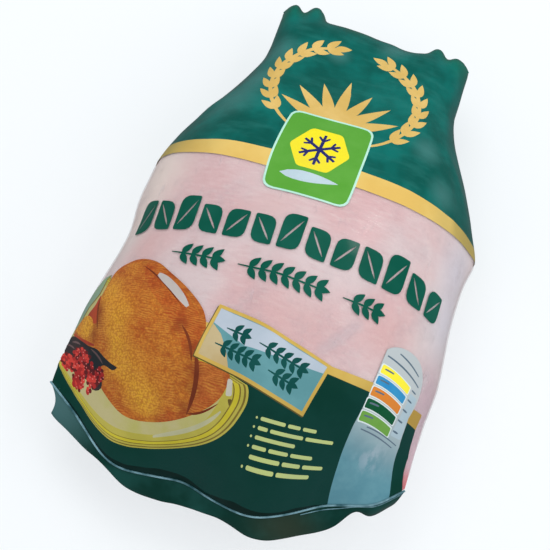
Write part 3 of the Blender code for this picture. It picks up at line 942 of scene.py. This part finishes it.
# Creases of the shrunk film. Each is (s, t) at its start and its end, height in mm and spread in mm.
CREASES = (
    ((-64, 196), (-58, 120), 0.9, 4.0),
    ((-44, 196), (-36, 140), 0.7, 3.5),
    ((52, 192), (44, 130), 0.8, 3.5),
    ((72, 190), (84, 120), 0.9, 4.0),
    ((-80, 120), (-132, 70), 0.8, 3.5),
    ((-74, 104), (-138, 84), 0.7, 3.0),
    ((84, 112), (128, 70), 0.8, 3.5),
    ((92, 96), (118, 40), 0.6, 3.0),
    ((48, -74), (68, -34), 0.7, 3.5),
)
CREASE_ENDS = 0.12

# Puckers beside the weld: waves in mm, the first one swung by a slow wave, and a smaller one over it
PUCKER_HEIGHT, PUCKER_REACH = 0.0004, 9.0
PUCKER_WAVE, PUCKER_SWING, PUCKER_SLOW_WAVE = 3.1, 1.5, 11.0
SMALL_PUCKER, SMALL_PUCKER_WAVE, SMALL_PUCKER_PHASE = 0.6, 5.3, 2.0

# The bird's soft lumps, as (size, height). Lumps and creases fade out over the flat spot under the pack, and
# at both ends of the film.
LUMPS = ((0.045, 0.0007), (0.018, 0.00025))
FLAT_TO_Z, LUMPY_FROM_Z = 0.004, 0.020
END_FADE = 4.0


def crease_height(place):
    """Height of the creases and the weld's puckers at places in (s, t), in metres."""
    height = np.zeros(len(place))
    for start, end, rise, spread in CREASES:
        a, b = np.array(start, float), np.array(end, float)
        share = np.clip((place - a) @ (b - a) / np.sum((b - a) ** 2), 0, 1)
        gap = np.linalg.norm(place - a - share[:, None] * (b - a), axis=1)
        swell = np.sin(math.pi * (CREASE_ENDS + (1 - 2 * CREASE_ENDS) * share))
        height += 0.001 * rise * bell(gap, spread) * swell
    s, t = place.T
    puckers = np.sin(s / PUCKER_WAVE + PUCKER_SWING * np.sin(s / PUCKER_SLOW_WAVE))
    puckers += SMALL_PUCKER * np.sin(s / SMALL_PUCKER_WAVE + SMALL_PUCKER_PHASE)
    return height + PUCKER_HEIGHT * puckers * np.exp((T_WELD - t) / PUCKER_REACH)


def off_the_flat(points):
    return smooth_step(FLAT_TO_Z, LUMPY_FROM_Z, points[:, 2])


def lump_height(points):
    lumps = sum(np.array([height * noise.noise(Vector(p / size)) for p in points]) for size, height in LUMPS)
    return lumps * off_the_flat(points)


def film_surface():
    """The film round the bird: points, triangles, outward normals, and each triangle's layer."""
    flat, triangles, top = cut_sheet()
    triangles = joined_seam(flat, triangles)
    points = sheet.on_bag(flat)
    lift = crease_height(sheet.place(flat)) * off_the_flat(points) + lump_height(points)
    t = flat[:, 1]
    lift *= smooth_step(T_WELD, T_WELD + END_FADE, t) * smooth_step(T_LEGS, T_LEGS - END_FADE, t)
    points = points + vertex_normals(points, triangles) * lift[:, None]
    whole = np.all(triangles != np.roll(triangles, 1, axis=1), axis=1)
    triangles, top = triangles[whole], top[whole]
    return points, triangles, vertex_normals(points, triangles), top


def placed(name, data):
    """A new object in the scene."""
    new = bpy.data.objects.new(name, data)
    bpy.context.scene.collection.objects.link(new)
    return new


HARD_TURN = math.radians(60)


def mesh_piece(name, points, faces, material):
    """A piece of the pack: a smooth mesh with sharp edges only where it turns hard."""
    mesh = bpy.data.meshes.new(name)
    mesh.from_pydata(np.asarray(points).tolist(), [], faces)
    mesh.validate()
    mesh.shade_smooth()
    mesh.set_sharp_from_angle(angle=HARD_TURN)
    mesh.materials.append(material)
    piece = placed(name, mesh)
    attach(piece, BODY)
    return piece


def film_piece(name, points, triangles, normals, material):
    """A piece of the film as a thin closed shell, its outer face on the surface."""
    used, local = np.unique(triangles, return_inverse=True)
    local = local.reshape(-1, 3)
    count = len(used)
    outer = points[used]
    inner = outer - FILM * normals[used]
    edges = {(int(t[i]), int(t[(i + 1) % 3])) for t in local for i in range(3)}
    rim = [e for e in edges if (e[1], e[0]) not in edges]
    faces = [tuple(int(i) for i in t) for t in local]
    faces += [tuple(int(i) + count for i in t[::-1]) for t in local]
    faces += [(j, i, i + count, j + count) for i, j in rim]
    return mesh_piece(name, np.concatenate([outer, inner]), faces, material)


def ring_faces(rings, count):
    """Walls between rings of count points, and at both ends a strip of faces across the closed lips."""
    faces = []
    for ring in range(rings - 1):
        here, beyond = ring * count, (ring + 1) * count
        for column in range(count):
            after = (column + 1) % count
            faces.append((here + column, beyond + column, beyond + after, here + after))
    last = (rings - 1) * count
    for column in range(count // 2):
        across = (column, column + 1, (count - column - 1) % count, (count - column) % count)
        strip = list(dict.fromkeys(across))
        faces.append(tuple(strip))
        faces.append(tuple(last + c for c in reversed(strip)))
    return faces


# Materials

def srgb(red, green, blue):
    """A colour given as a screen's 0 to 255, in the linear values that a shader takes."""
    levels = (c / 255 for c in (red, green, blue))
    return tuple(c / 12.92 if c <= 0.04045 else ((c + 0.055) / 1.055) ** 2.4 for c in levels) + (1.0,)


# Relief of the film's surface: soft dimples and fine grain, in metres
DIMPLE_SIZE, FILM_GRAIN, DIMPLE_SHARE = 0.011, 0.0022, 0.75
FILM_RELIEF, RELIEF_STRENGTH = 0.0007, 0.55


class Signal:
    """A value in a material, with the arithmetic of its Math nodes."""

    def __init__(self, finish, socket):
        self.finish, self.socket = finish, socket

    def math(self, operation, other):
        return self.finish.node("ShaderNodeMath", {"operation": operation}, {0: self, 1: other})

    def __add__(self, other):
        return self.math("ADD", other)

    __radd__ = __add__

    def __mul__(self, other):
        return self.math("MULTIPLY", other)

    __rmul__ = __mul__


class Finish:
    """A material: its Principled shader, and the nodes that feed it."""

    def __init__(self, name, constants):
        self.material = bpy.data.materials.new(name)
        self.material.use_nodes = True
        self.tree = self.material.node_tree
        self.shader = self.tree.nodes["Principled BSDF"]
        for socket, value in constants.items():
            self.shader.inputs[socket].default_value = value
        self.place = self.node("ShaderNodeTexCoord", {}, {}, "Object")

    def node(self, kind, settings, values, out=0):
        """Adds a node: its settings first, then the values or links of its sockets."""
        node = self.tree.nodes.new(kind)
        for key, value in settings.items():
            setattr(node, key, value)
        for key, value in values.items():
            if isinstance(value, Signal):
                self.tree.links.new(value.socket, node.inputs[key])
            else:
                node.inputs[key].default_value = value
        return Signal(self, node.outputs[out])

    def noise(self, size, detail=2.0, roughness=0.5, stretch=(1, 1, 1), shift=(0, 0, 0)):
        """Cloudy noise whose lumps are about size metres."""
        values = {"Vector": self.place, "Scale": stretch, "Location": shift}
        mapped = self.node("ShaderNodeMapping", {}, values)
        values = {"Vector": mapped, "Scale": 1 / size, "Detail": detail, "Roughness": roughness}
        return self.node("ShaderNodeTexNoise", {}, values)

    def ramp(self, value, low, high):
        """0 below low, 1 above high, smooth between; low may be the larger."""
        values = {"Value": value, "From Min": low, "From Max": high}
        return self.node("ShaderNodeMapRange", {"interpolation_type": "SMOOTHSTEP"}, values)

    def clouds(self, size, low, high, detail=3.0, roughness=0.6, **laid):
        """Noise in separate clouds: 0 where it is below low, 1 where it is above high."""
        return self.ramp(self.noise(size, detail, roughness, **laid), low, high)

    def mix(self, factor, first, second):
        """A colour between two. Each is a signal, or a screen's red, green and blue."""
        first, second = (srgb(*c) if isinstance(c, tuple) else c for c in (first, second))
        return self.node("ShaderNodeMix", {"data_type": "RGBA"}, {0: factor, 6: first, 7: second}, 2)

    def spot(self, centre, radius, stretch=(1, 1, 1)):
        """1 at a place in the solid's frame, falling to 0 at radius."""
        away = self.node("ShaderNodeVectorMath", {"operation": "SUBTRACT"}, {0: self.place, 1: centre})
        away = self.node("ShaderNodeVectorMath", {"operation": "MULTIPLY"}, {0: away, 1: stretch})
        away = self.node("ShaderNodeVectorMath", {"operation": "LENGTH"}, {0: away}, "Value")
        return self.ramp(away, radius, 0.0)

    def spot_on_print(self, s, t, radius):
        """1 at a place of the print, falling to 0 at radius."""
        return self.spot(sheet.on_bag(sheet.flat([(s, t)]))[0], radius)

    def patches(self, colour, places, share, tint):
        """The colour with a share of a tint at places of the print, given as (s, t, radius in metres)."""
        for s, t, radius in places:
            colour = self.mix(self.spot_on_print(s, t, radius) * share, colour, tint)
        return colour

    def steep(self, none=0.75, full=0.05):
        """0 where the film faces up, 1 where it stands on edge, with the normal's Z at both."""
        normal = self.node("ShaderNodeNewGeometry", {}, {}, "Normal")
        return self.ramp(self.node("ShaderNodeSeparateXYZ", {}, {0: normal}, "Z"), none, full)

    def feed(self, socket, value):
        self.tree.links.new(value.socket, self.shader.inputs[socket])

    def bump(self, height, distance, strength):
        values = {"Height": height, "Distance": distance, "Strength": strength}
        self.feed("Normal", self.node("ShaderNodeBump", {}, values))

    def film(self, colour, roughness=None):
        """The material of film in this colour, with fine grain and soft dimples."""
        self.feed("Base Color", colour)
        if roughness:
            self.feed("Roughness", roughness)
        dimples = self.noise(DIMPLE_SIZE, 1.0, shift=(0.3, 0, 0))
        relief = dimples * DIMPLE_SHARE + self.noise(FILM_GRAIN) * (1 - DIMPLE_SHARE)
        self.bump(relief, FILM_RELIEF, RELIEF_STRENGTH)
        return self.material


GLOSS = {"Roughness": 0.40, "Specular IOR Level": 0.10, "Coat Weight": 0.30, "Coat Roughness": 0.12}


def print_finish(name, ink, faded, edge=None, cloud=0.030, turn=(0.92, 0.35)):
    """Printed film: one ink, clouded where the film is stretched, and a colour of painted shade and sheen
    where it stands on edge.
    """
    finish = Finish(name, GLOSS)
    clouds = finish.clouds(cloud, 0.35, 0.70)
    colour = finish.mix(clouds, ink, faded)
    # Painted shade and sheen where the film stands on edge
    if edge:
        colour = finish.mix(finish.steep(*turn) * 0.85, colour, edge)
    return finish.film(colour, 0.30 + 0.14 * clouds)


# Painted grey sheen on the green film, as (s, t, radius in metres), and each knuckle's painted highlight
GREY_SHEEN_PATCHES = ((-84, 99, 0.032), (-72, 124, 0.024), (-64, 154, 0.024), (20, 188, 0.018), (70, 96, 0.018),
                (96, 66, 0.020), (-20, 166, 0.014))
KNUCKLE_HIGHLIGHT = 0.026


def green_finish():
    """The green print over the legs: teal clouds and streaks, painted highlights on the knuckles, painted
    grey sheen in patches, and painted shade and sheen on edge.
    """
    finish = Finish("green_print", GLOSS)
    clouds = finish.clouds(0.042, 0.36, 0.68, shift=(0.1, 0, 0))
    streaks = finish.clouds(0.012, 0.45, 0.75, stretch=(0.35, 1.6, 1))
    colour = finish.mix(clouds, (0, 80, 72), (4, 106, 98))
    colour = finish.mix(streaks * 0.32, colour, (36, 118, 110))
    # Painted grey sheen in patches
    colour = finish.patches(colour, GREY_SHEEN_PATCHES, 0.6, (68, 122, 118))
    # A painted highlight over each knuckle
    for x, y, z, _, _ in KNUCKLES:
        knuckle_highlight = finish.spot((x - MIDDLE[0], y - MIDDLE[1], z), KNUCKLE_HIGHLIGHT)
        colour = finish.mix(knuckle_highlight * 0.7, colour, (0, 104, 76))
    # Painted shade and sheen: darker and greyer where the film stands on edge
    colour = finish.mix(finish.steep(0.85, 0.2) * 0.6, colour, (20, 74, 70))
    return finish.film(colour, 0.30 + 0.14 * streaks)


# Tints of the skin, as (share, tint, places), the places as (s, t, radius in metres): salmon over the breast,
# lilac at the right edge, painted light in cream at the left one, a painted bluish reflection on the right
# flank, and juice near the weld
SKIN_TINTS_AND_LIGHT = (
    (0.5, (216, 168, 164), ((20, -70, 0.045), (88, -58, 0.034), (-110, -40, 0.030), (-20, 4, 0.026))),
    (0.8, (200, 168, 180), ((152, -90, 0.050), (150, -128, 0.045), (146, -166, 0.036))),
    (0.8, (242, 228, 216), ((-132, 26, 0.052), (-150, -10, 0.050))),
    (0.8, (212, 212, 222), ((140, 20, 0.040), (148, -20, 0.045))),
    (1.0, (206, 84, 90), ((141, -185, 0.017),)),
)
SKIN_GLOSS = {"Roughness": 0.42, "Specular IOR Level": 0.4, "Coat Weight": 0.3, "Coat Roughness": 0.2}


def skin_finish():
    """Raw goose skin, deep frozen: pale pink with deeper patches, painted light that makes the sides paler,
    and fine pores.
    """
    finish = Finish("goose_skin", SKIN_GLOSS)
    fine = finish.noise(0.0040, 3.0, 0.65, stretch=(0.3, 1.6, 1))
    broad = finish.clouds(0.060, 0.38, 0.66, 2.0, 0.5, shift=(0, 0.4, 0))
    colour = finish.mix(broad, (218, 178, 178), (218, 200, 200))
    colour = finish.mix(finish.ramp(fine, 0.48, 0.74) * 0.6, colour, (226, 206, 202))
    colour = finish.mix(finish.ramp(fine, 0.50, 0.25) * 0.4, colour, (204, 160, 158))
    # Painted light: paler where the skin stands on edge
    colour = finish.mix(finish.steep(0.96, 0.40) * 0.8, colour, (224, 212, 208))
    # Tints of the skin, with painted light on the left and a painted reflection on the right flank
    for share, tint, places in SKIN_TINTS_AND_LIGHT:
        colour = finish.patches(colour, places, share, tint)
    finish.feed("Base Color", colour)
    finish.bump(finish.noise(0.0026, 2.0, 0.6), 0.0006, 0.5)
    return finish.material


# Painted highlights along folds of the clear film, as (start, end) in (s, t), each drawn as a row of whitish
# spots
FOLD_HIGHLIGHTS = (((45.0, -86.0), (64.0, -60.0)), ((131.0, -92.0), (140.0, -70.0)))
HIGHLIGHT_SPOTS, HIGHLIGHT_SPOT_RADIUS, HIGHLIGHT_SPOT_HAZE = 6, 0.0080, 0.15


def clear_finish():
    """Clear film, a little milky with frost, with painted sheen where it stands on edge and painted
    highlights along folds.
    """
    finish = Finish("clear_film", {"Base Color": srgb(222, 208, 212), "Roughness": 0.22, "Coat Weight": 0.1})
    frost = finish.clouds(0.035, 0.45, 0.80, detail=4.0)
    streaks = finish.clouds(0.013, 0.60, 0.80, stretch=(2.0, 0.5, 1))
    # Frost and streaks, and painted sheen where the film stands on edge
    frost_and_sheen = 0.08 + 0.14 * frost + 0.14 * streaks + 0.06 * finish.steep()
    # Painted highlights along folds
    for start, end in FOLD_HIGHLIGHTS:
        for f in np.linspace(0, 1, HIGHLIGHT_SPOTS):
            frost_and_sheen = frost_and_sheen + HIGHLIGHT_SPOT_HAZE * finish.spot_on_print(*Vector(start).lerp(end, f), HIGHLIGHT_SPOT_RADIUS)
    finish.feed("Alpha", frost_and_sheen)
    return finish.material


# Lights, shades and dark clefts of the roast, as (s, t, radius in metres)
ROAST_LIGHTS = ((-146, -126, 0.016), (-112, -106, 0.024), (-74, -152, 0.026), (-128, -86, 0.018),
                (-96, -142, 0.030), (-108, -128, 0.020), (-70, -156, 0.020))
ROAST_SHADES = ((-98, -70, 0.022), (-66, -92, 0.024), (-50, -104, 0.018), (-88, -108, 0.020),
                (-120, -134, 0.014), (-22, -142, 0.014), (-50, -158, 0.012), (-124, -62, 0.011),
                (-100, -158, 0.014), (-118, -150, 0.012))
ROAST_CLEFTS = ((-44, -112, 0.010), (-38, -124, 0.011), (-36, -136, 0.011), (-38, -148, 0.010),
                (-133, -106, 0.009), (-132, -118, 0.010), (-134, -130, 0.010), (-58, -98, 0.009))
PORES = {"Scale": 600.0}
RIPPLES = {"Scale": 200.0, "Distortion": 12.0, "Detail": 2.0, "Detail Scale": 0.4}


def roast_finish(name, dark, middle, light):
    """Printed roast skin: speckled brown and pored, with golden lights and clumps of fine ripples."""
    finish = Finish(name, GLOSS)
    speckle = finish.clouds(0.0032, 0.38, 0.64, 4.0, 0.7, stretch=(0.6, 1.5, 1))
    pores = finish.node("ShaderNodeTexVoronoi", {}, {"Vector": finish.place, **PORES}, "Distance")
    values = {"Vector": finish.place, **RIPPLES}
    ripples = finish.node("ShaderNodeTexWave", {"bands_direction": "Y"}, values, "Fac")
    clumps = finish.clouds(0.0090, 0.30, 0.70, 2.0, 0.5, shift=(0, 0, 0.2))
    colour = finish.mix(finish.clouds(0.022, 0.35, 0.65, 2.0, 0.5), dark, middle)
    colour = finish.patches(colour, ROAST_LIGHTS, 0.75, (220, 166, 46))
    colour = finish.patches(colour, ROAST_SHADES, 0.75, (160, 60, 26))
    colour = finish.mix(speckle * 0.55, colour, light)
    colour = finish.patches(colour, ROAST_CLEFTS, 0.6, (112, 46, 26))
    colour = finish.mix(finish.ramp(pores, 0.25, 0.75) * 0.50, colour, (138, 62, 24))
    colour = finish.mix(ripples * clumps * 0.34, colour, (226, 166, 68))
    return finish.film(colour)


# Where the strip turns from pale to teal, and a painted whitish highlight low on it
STRIP_PALE, STRIP_TEAL = (105.0, -104.0), (105.0, -172.0)
STRIP_HIGHLIGHT = (106.0, -157.0, 0.020)


def strip_finish():
    """The strip behind the bars: pale at its top, and teal below them, with a painted highlight low on it."""
    finish = Finish("strip_window", GLOSS)
    pale_y, teal_y = sheet.on_bag(sheet.flat([STRIP_PALE, STRIP_TEAL]))[:, 1].tolist()
    along_bird = finish.node("ShaderNodeSeparateXYZ", {}, {0: finish.place}, "Y")
    # A painted highlight, broken up by clouds
    strip_highlight = finish.clouds(0.009, 0.40, 0.62, stretch=(1.6, 0.6, 1)) * finish.spot_on_print(*STRIP_HIGHLIGHT)
    colour = finish.mix(finish.clouds(0.020, 0.35, 0.70), (84, 134, 148), (98, 146, 158))
    colour = finish.mix(strip_highlight * 0.6, colour, (156, 172, 186))
    colour = finish.mix(finish.ramp(along_bird, teal_y, pale_y), colour, (178, 185, 187))
    return finish.film(colour)


# Inks of the print, as (ink, faded). Some also have a colour of painted shade and sheen on edge, the clouds'
# size, and the normal's Z where that painted colour starts and where it is full.
INKS = {
    "gold_band": ((216, 178, 94), (222, 188, 106), (158, 142, 76), 0.030, (0.97, 0.45)),
    "gold_line": ((196, 162, 76), (204, 172, 88), (166, 134, 60), 0.030, (0.97, 0.60)),
    "gold_sprays": ((206, 170, 92), (216, 182, 108), (182, 154, 86)),
    "green_panel": ((0, 52, 42), (2, 58, 49), (8, 58, 54)),
    "panel_fold_shade": ((0, 30, 26), (0, 38, 34)),
    "label_teal": ((88, 140, 146), (98, 150, 156)),
    "label_lilac": ((170, 182, 194), (182, 190, 202)),
    "label_peach": ((184, 160, 112), (190, 172, 132)),
    "label_shadow": ((84, 76, 40), (96, 84, 44)),
    "label_grains": ((6, 70, 66), (12, 78, 74)),
    "green_leaves": ((0, 80, 64), (8, 88, 72)),
    "strip_side": ((164, 184, 194), (172, 190, 200)),
    "strip_edge": ((204, 216, 216), (212, 222, 222)),
    "strip_marks": ((82, 102, 118), (94, 112, 126)),
    "bar_yellow": ((240, 226, 56), (236, 220, 74)),
    "bar_blue": ((44, 132, 186), (58, 146, 190)),
    "bar_orange": ((220, 122, 38), (208, 128, 52)),
    "bar_dark": ((2, 76, 42), (12, 84, 52)),
    "bar_light": ((102, 154, 58), (110, 158, 74)),
    "pale_rows": ((186, 196, 124), (176, 188, 126)),
    "plate_rim": ((170, 160, 66), (182, 170, 76)),
    "plate_line": ((112, 94, 38), (128, 112, 48)),
    "plate_well": ((176, 170, 100), (184, 174, 126)),
    "plate_gold": ((186, 172, 44), (196, 182, 54)),
    "plate_far": ((124, 152, 136), (142, 166, 124)),
    "plate_gleam": ((172, 170, 132), (186, 182, 150)),
    "plate_shadow": ((92, 78, 34), (104, 88, 40)),
    "roast_bone": ((184, 180, 166), (196, 190, 178)),
    "roast_gleam": ((186, 178, 174), (176, 164, 160)),
    "roast_fold": ((104, 44, 24), (122, 56, 28)),
    "roast_red": ((146, 52, 38), (176, 72, 40)),
    "herb_leaf": ((34, 40, 44), (62, 50, 50)),
    "herb_light": ((92, 72, 72), (112, 88, 88)),
    "berry_gleam": ((214, 112, 104), (224, 132, 124)),
    "berries_light": ((182, 40, 38), (206, 66, 56)),
    "berries_mid": ((146, 30, 32), (170, 44, 42)),
    "berries_deep": ((84, 26, 30), (108, 34, 34)),
    "badge_edge": ((172, 218, 200), (184, 226, 208)),
    "badge_green": ((84, 154, 52), (92, 160, 60)),
    "badge_pale": ((174, 194, 204), (186, 204, 212)),
    "badge_yellow": ((234, 220, 34), (230, 212, 50)),
    "badge_flake": ((34, 38, 100), (42, 46, 104)),
}

# Browns of the roast's fields, as (dark, middle, light)
ROAST_INKS = {
    "roast_skin": ((164, 80, 30), (188, 108, 36), (210, 140, 50)),
    "roast_edge": ((150, 66, 28), (176, 90, 34), (196, 112, 42)),
    "roast_deep": ((158, 68, 28), (178, 84, 32), (196, 108, 40)),
    "roast_gold": ((204, 120, 34), (218, 148, 38), (226, 168, 52)),
    "roast_leg": ((152, 70, 34), (174, 90, 40), (194, 114, 50)),
}


def make_film():
    lay_print()
    points, triangles, normals, top = film_surface()
    names = np.array([name for name, _ in layers] + ["clear_film"])
    shown = names[top]
    finishes = {name: print_finish(name, *inks) for name, inks in INKS.items()}
    finishes |= {name: roast_finish(name, *browns) for name, browns in ROAST_INKS.items()}
    finishes |= {"green_top": green_finish(), "clear_film": clear_finish(), "strip_window": strip_finish()}
    for name in dict.fromkeys(names.tolist()):
        piece = film_piece(name, points, triangles[shown == name], normals, finishes[name])
        if name == "clear_film":
            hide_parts(PACK)


# The bird under the film, by shares of the way from the weld to the legs. It lies deeper at both ends, and
# stops short of the two welded corners, where film lies on film.
SKIN_DEPTH, SKIN_DEPTH_AT_WELD, SKIN_SHARE = 0.0010, 0.0020, 0.33
SKIN_DEPTH_AT_LEGS, LEGS_FROM, LEGS_TO = 0.0035, 0.64, 0.72
SKIN_RINGS, SKIN_COLUMNS = 110, 200
SKIN_FROM, SKIN_TO = 0.004, 0.990
LEFT_CORNER, RIGHT_CORNER, CORNER_REACH = math.radians(19), math.radians(6), 0.22


def make_skin():
    eased = (1 - np.cos(np.linspace(0, math.pi, SKIN_RINGS)[:, None])) / 2
    shares = SKIN_FROM + (SKIN_TO - SKIN_FROM) * eased
    near_weld, near_legs = smooth_step(CORNER_REACH, 0.0, shares), smooth_step(LEGS_FROM, LEGS_TO, shares)
    half = (math.pi - (LEFT_CORNER + RIGHT_CORNER) * near_weld) * np.linspace(0.0, 1.0, SKIN_COLUMNS // 2)
    over, under = RIGHT_CORNER * near_weld + half, math.pi + LEFT_CORNER * near_weld + half
    turn = np.concatenate([over, under], axis=1)
    rings = bag_points(shares * np.ones_like(turn), turn)
    thickness = np.linalg.norm(rings - rings[:, ::-1], axis=2)
    depth = SKIN_DEPTH + (SKIN_DEPTH_AT_LEGS - SKIN_DEPTH) * near_legs
    depth = depth + (np.minimum(SKIN_DEPTH_AT_WELD, SKIN_SHARE * thickness) - SKIN_DEPTH) * near_weld
    faces = ring_faces(SKIN_RINGS, SKIN_COLUMNS)
    triangles = [(f[0], f[i], f[i + 1]) for i in (1, 2) for f in faces if len(f) > i + 1]
    points = rings.reshape(-1, 3)
    inward = depth.reshape(-1, 1) - lump_height(points)[:, None]
    points = points - inward * vertex_normals(points, np.array(triangles))
    skin = mesh_piece("goose_skin", points, faces, skin_finish())


# Hem of film outside the weld, with its flutter as (length, height) and its left end drawn in
HEM_STEPS, HEM_COLUMNS = 12, 320
HEM_FLUTTER = ((0.310, 0.0008), (0.130, 0.0003))
FLUTTER_PHASE = 9
HEM_END_DRAWN_IN, HEM_END_SPREAD = 0.0040, 0.10

# Where the hem is thin and brownish, and a painted highlight on its left corner, as (place, radius)
HEM_THIN, THIN_STRETCH = ((0.060, -0.196, 0.05), 0.030), (0.7, 1, 0.3)
HEM_CORNER_HIGHLIGHT = ((-0.128, -0.148, 0.055), 0.060)


def hem_finish():
    """Green printed hem, brownish where it is thin, with a painted highlight at its left corner."""
    finish = Finish("hem_print", GLOSS)
    colour = finish.mix(finish.clouds(0.030, 0.35, 0.70), (0, 50, 42), (16, 66, 60))
    colour = finish.mix(finish.spot(*HEM_THIN, THIN_STRETCH) * 0.5, colour, (58, 58, 42))
    # Painted highlight: paler at the left corner
    colour = finish.mix(finish.spot(*HEM_CORNER_HIGHLIGHT) * 0.85, colour, (76, 116, 118))
    return finish.film(colour)


def make_hem():
    turn = np.linspace(0.0, 2 * math.pi, HEM_COLUMNS, endpoint=False)
    outs = np.linspace(1.0, 0.0, HEM_STEPS)[:, None]
    rings = np.array([hem_point(np.full_like(turn, out), turn) for out in outs[:, 0]])
    across = rings[..., 0] / BREAST_HALF_WIDTH
    for length, height in HEM_FLUTTER:
        rings[..., 2] += height * outs * np.sin(2 * math.pi * across / length + FLUTTER_PHASE * length)
    left_end = bell(across - across.min(axis=1, keepdims=True), HEM_END_SPREAD)
    rings[..., 0] += HEM_END_DRAWN_IN * np.sin(math.pi * outs) * left_end
    points = (with_bumps(rings) - MIDDLE).reshape(-1, 3)
    hem = mesh_piece("film_hem", points, ring_faces(HEM_STEPS, HEM_COLUMNS), hem_finish())


# Weld lines, as (name, from and to angle in degrees, place across the hem, radius), and the seam over the
# legs, as (radius, from and to angle)
WELD_LINES = (("weld_bead", 1, 179, 0.02, 0.00080), ("weld_bead_beside", 3, 62, 0.15, 0.00036))
WELD_LINE_LIFT, WELD_LINE_POINTS = 0.0006, 220
END_SEAM, END_SEAM_POINTS = (0.0009, 8, 172), 160


def tube(name, path, radius, material):
    """A round bead along a path."""
    curve = bpy.data.curves.new(name, "CURVE")
    curve.dimensions = "3D"
    curve.bevel_depth = radius
    curve.bevel_resolution = 3
    curve.use_fill_caps = True
    spline = curve.splines.new("POLY")
    spline.points.add(len(path) - 1)
    for point, place in zip(spline.points, path):
        point.co = (*place, 1.0)
    drawn = placed(name, curve)
    mesh = bpy.data.meshes.new_from_object(drawn)
    bpy.data.objects.remove(drawn)
    mesh.shade_smooth()
    mesh.materials.append(material)
    piece = placed(name, mesh)
    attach(piece, BODY)


def make_weld():
    """The welded lines: a bead along the mouth of the bag, and a shorter one beside its right end, painted
    pale as a highlight in clouds over darker teal.
    """
    # The pale teal is a painted highlight, clouded with the bead's darker teal
    finish = print_finish("weld_bead", (126, 164, 176), (42, 84, 92), cloud=0.014)
    for name, first, last, out, radius in WELD_LINES:
        turn = np.radians(np.linspace(first, last, WELD_LINE_POINTS))
        line = with_bumps(hem_point(np.full_like(turn, out), turn)) - MIDDLE
        line[:, 2] += WELD_LINE_LIFT
        tube(name, line, radius, finish)


def make_end_seam():
    """The seam that shuts the bag over the leg ends, in the film's own green."""
    radius, first, last = END_SEAM
    turn = np.radians(np.linspace(first, last, END_SEAM_POINTS))
    over, under = (bag_points(np.ones_like(turn), side * turn) for side in (1, -1))
    tube("end_seam", (over + under) / 2, radius, bpy.data.materials["green_print"])


# Camera, placed as the photograph's, from the outline of the pack in it. The shift is in the photo's pixels.
CAMERA_ELEVATION, CAMERA_AZIMUTH, CAMERA_ROLL = (math.radians(angle) for angle in (70.0, 16.0, -1.47))
CAMERA_DISTANCE, CAMERA_LENS, SENSOR = 1.5, 130.469, 36.0
LOOK_AT = Vector((0, 0, 0.065))
PICTURE_SIZE, PICTURE_SHIFT = 550, (10.83, -18.15)


def make_camera():
    level = Vector((math.sin(CAMERA_AZIMUTH), -math.cos(CAMERA_AZIMUTH), 0))
    back = level * math.cos(CAMERA_ELEVATION) + Vector((0, 0, math.sin(CAMERA_ELEVATION)))
    right = Vector((math.cos(CAMERA_AZIMUTH), math.sin(CAMERA_AZIMUTH), 0))
    up = back.cross(right)
    across = right * math.cos(CAMERA_ROLL) - up * math.sin(CAMERA_ROLL)
    upward = right * math.sin(CAMERA_ROLL) + up * math.cos(CAMERA_ROLL)
    pixel = CAMERA_DISTANCE * SENSOR / CAMERA_LENS / PICTURE_SIZE
    aim = LOOK_AT - across * PICTURE_SHIFT[0] * pixel + upward * PICTURE_SHIFT[1] * pixel
    camera = placed("camera", bpy.data.cameras.new("camera"))
    camera.data.lens, camera.data.sensor_width = CAMERA_LENS, SENSOR
    turned = Matrix((across, upward, back)).transposed().to_4x4()
    camera.matrix_world = Matrix.Translation(aim + back * CAMERA_DISTANCE) @ turned
    bpy.context.scene.camera = camera


# Soft boxes, as (name, place, size, watts, whether the film mirrors it), and the sky, weaker in gloss
LIGHTS = (
    ("key_light", (-0.35, 0.85, 1.7), 1.1, 11.0, False),
    ("fill_light", (1.15, -0.15, 1.4), 1.3, 8.5, False),
    ("glint_light", (0.75, 0.95, 1.5), 0.30, 1.6, True),
)
SKY, SKY_STRENGTH, SKY_IN_GLOSS = (0.95, 0.98, 1.0, 1.0), 0.78, 0.22


def make_light():
    for name, place, size, watts, mirrored in LIGHTS:
        light = bpy.data.lights.new(name, "AREA")
        light.size, light.energy = size, watts
        lamp = placed(name, light)
        lamp.location = place
        lamp.visible_glossy = mirrored
        lamp.rotation_euler = (Vector(place) - LOOK_AT).to_track_quat("Z", "Y").to_euler()
    world = bpy.data.worlds.new("studio")
    bpy.context.scene.world = world
    world.use_nodes = True
    tree = world.node_tree
    sky = tree.nodes["Background"]
    sky.inputs["Color"].default_value = SKY
    rays = tree.nodes.new("ShaderNodeLightPath")
    strength = tree.nodes.new("ShaderNodeMapRange")
    strength.inputs["To Min"].default_value = SKY_STRENGTH
    strength.inputs["To Max"].default_value = SKY_STRENGTH * SKY_IN_GLOSS
    tree.links.new(rays.outputs["Is Glossy Ray"], strength.inputs["Value"])
    tree.links.new(strength.outputs[0], sky.inputs["Strength"])
    bpy.context.scene.view_settings.view_transform = "Standard"


# Pale floor, out of sight of the film's gloss
FLOOR_REACH = 40.0
FLOOR = {"Base Color": srgb(150, 152, 153), "Roughness": 0.9, "Specular IOR Level": 0.0,
         "Emission Color": srgb(246, 250, 253), "Emission Strength": 0.66}


def make_floor():
    mesh = bpy.data.meshes.new("floor")
    corners = [(FLOOR_REACH * x, FLOOR_REACH * y, 0) for x, y in ((-1, -1), (1, -1), (1, 1), (-1, 1))]
    mesh.from_pydata(corners, [], [(0, 1, 2, 3)])
    mesh.materials.append(Finish("floor", FLOOR).material)
    floor = placed("floor", mesh)
    floor.visible_glossy = False


make_camera()
make_floor()
make_light()
make_skin()
make_film()
make_hem()
make_weld()
make_end_seam()
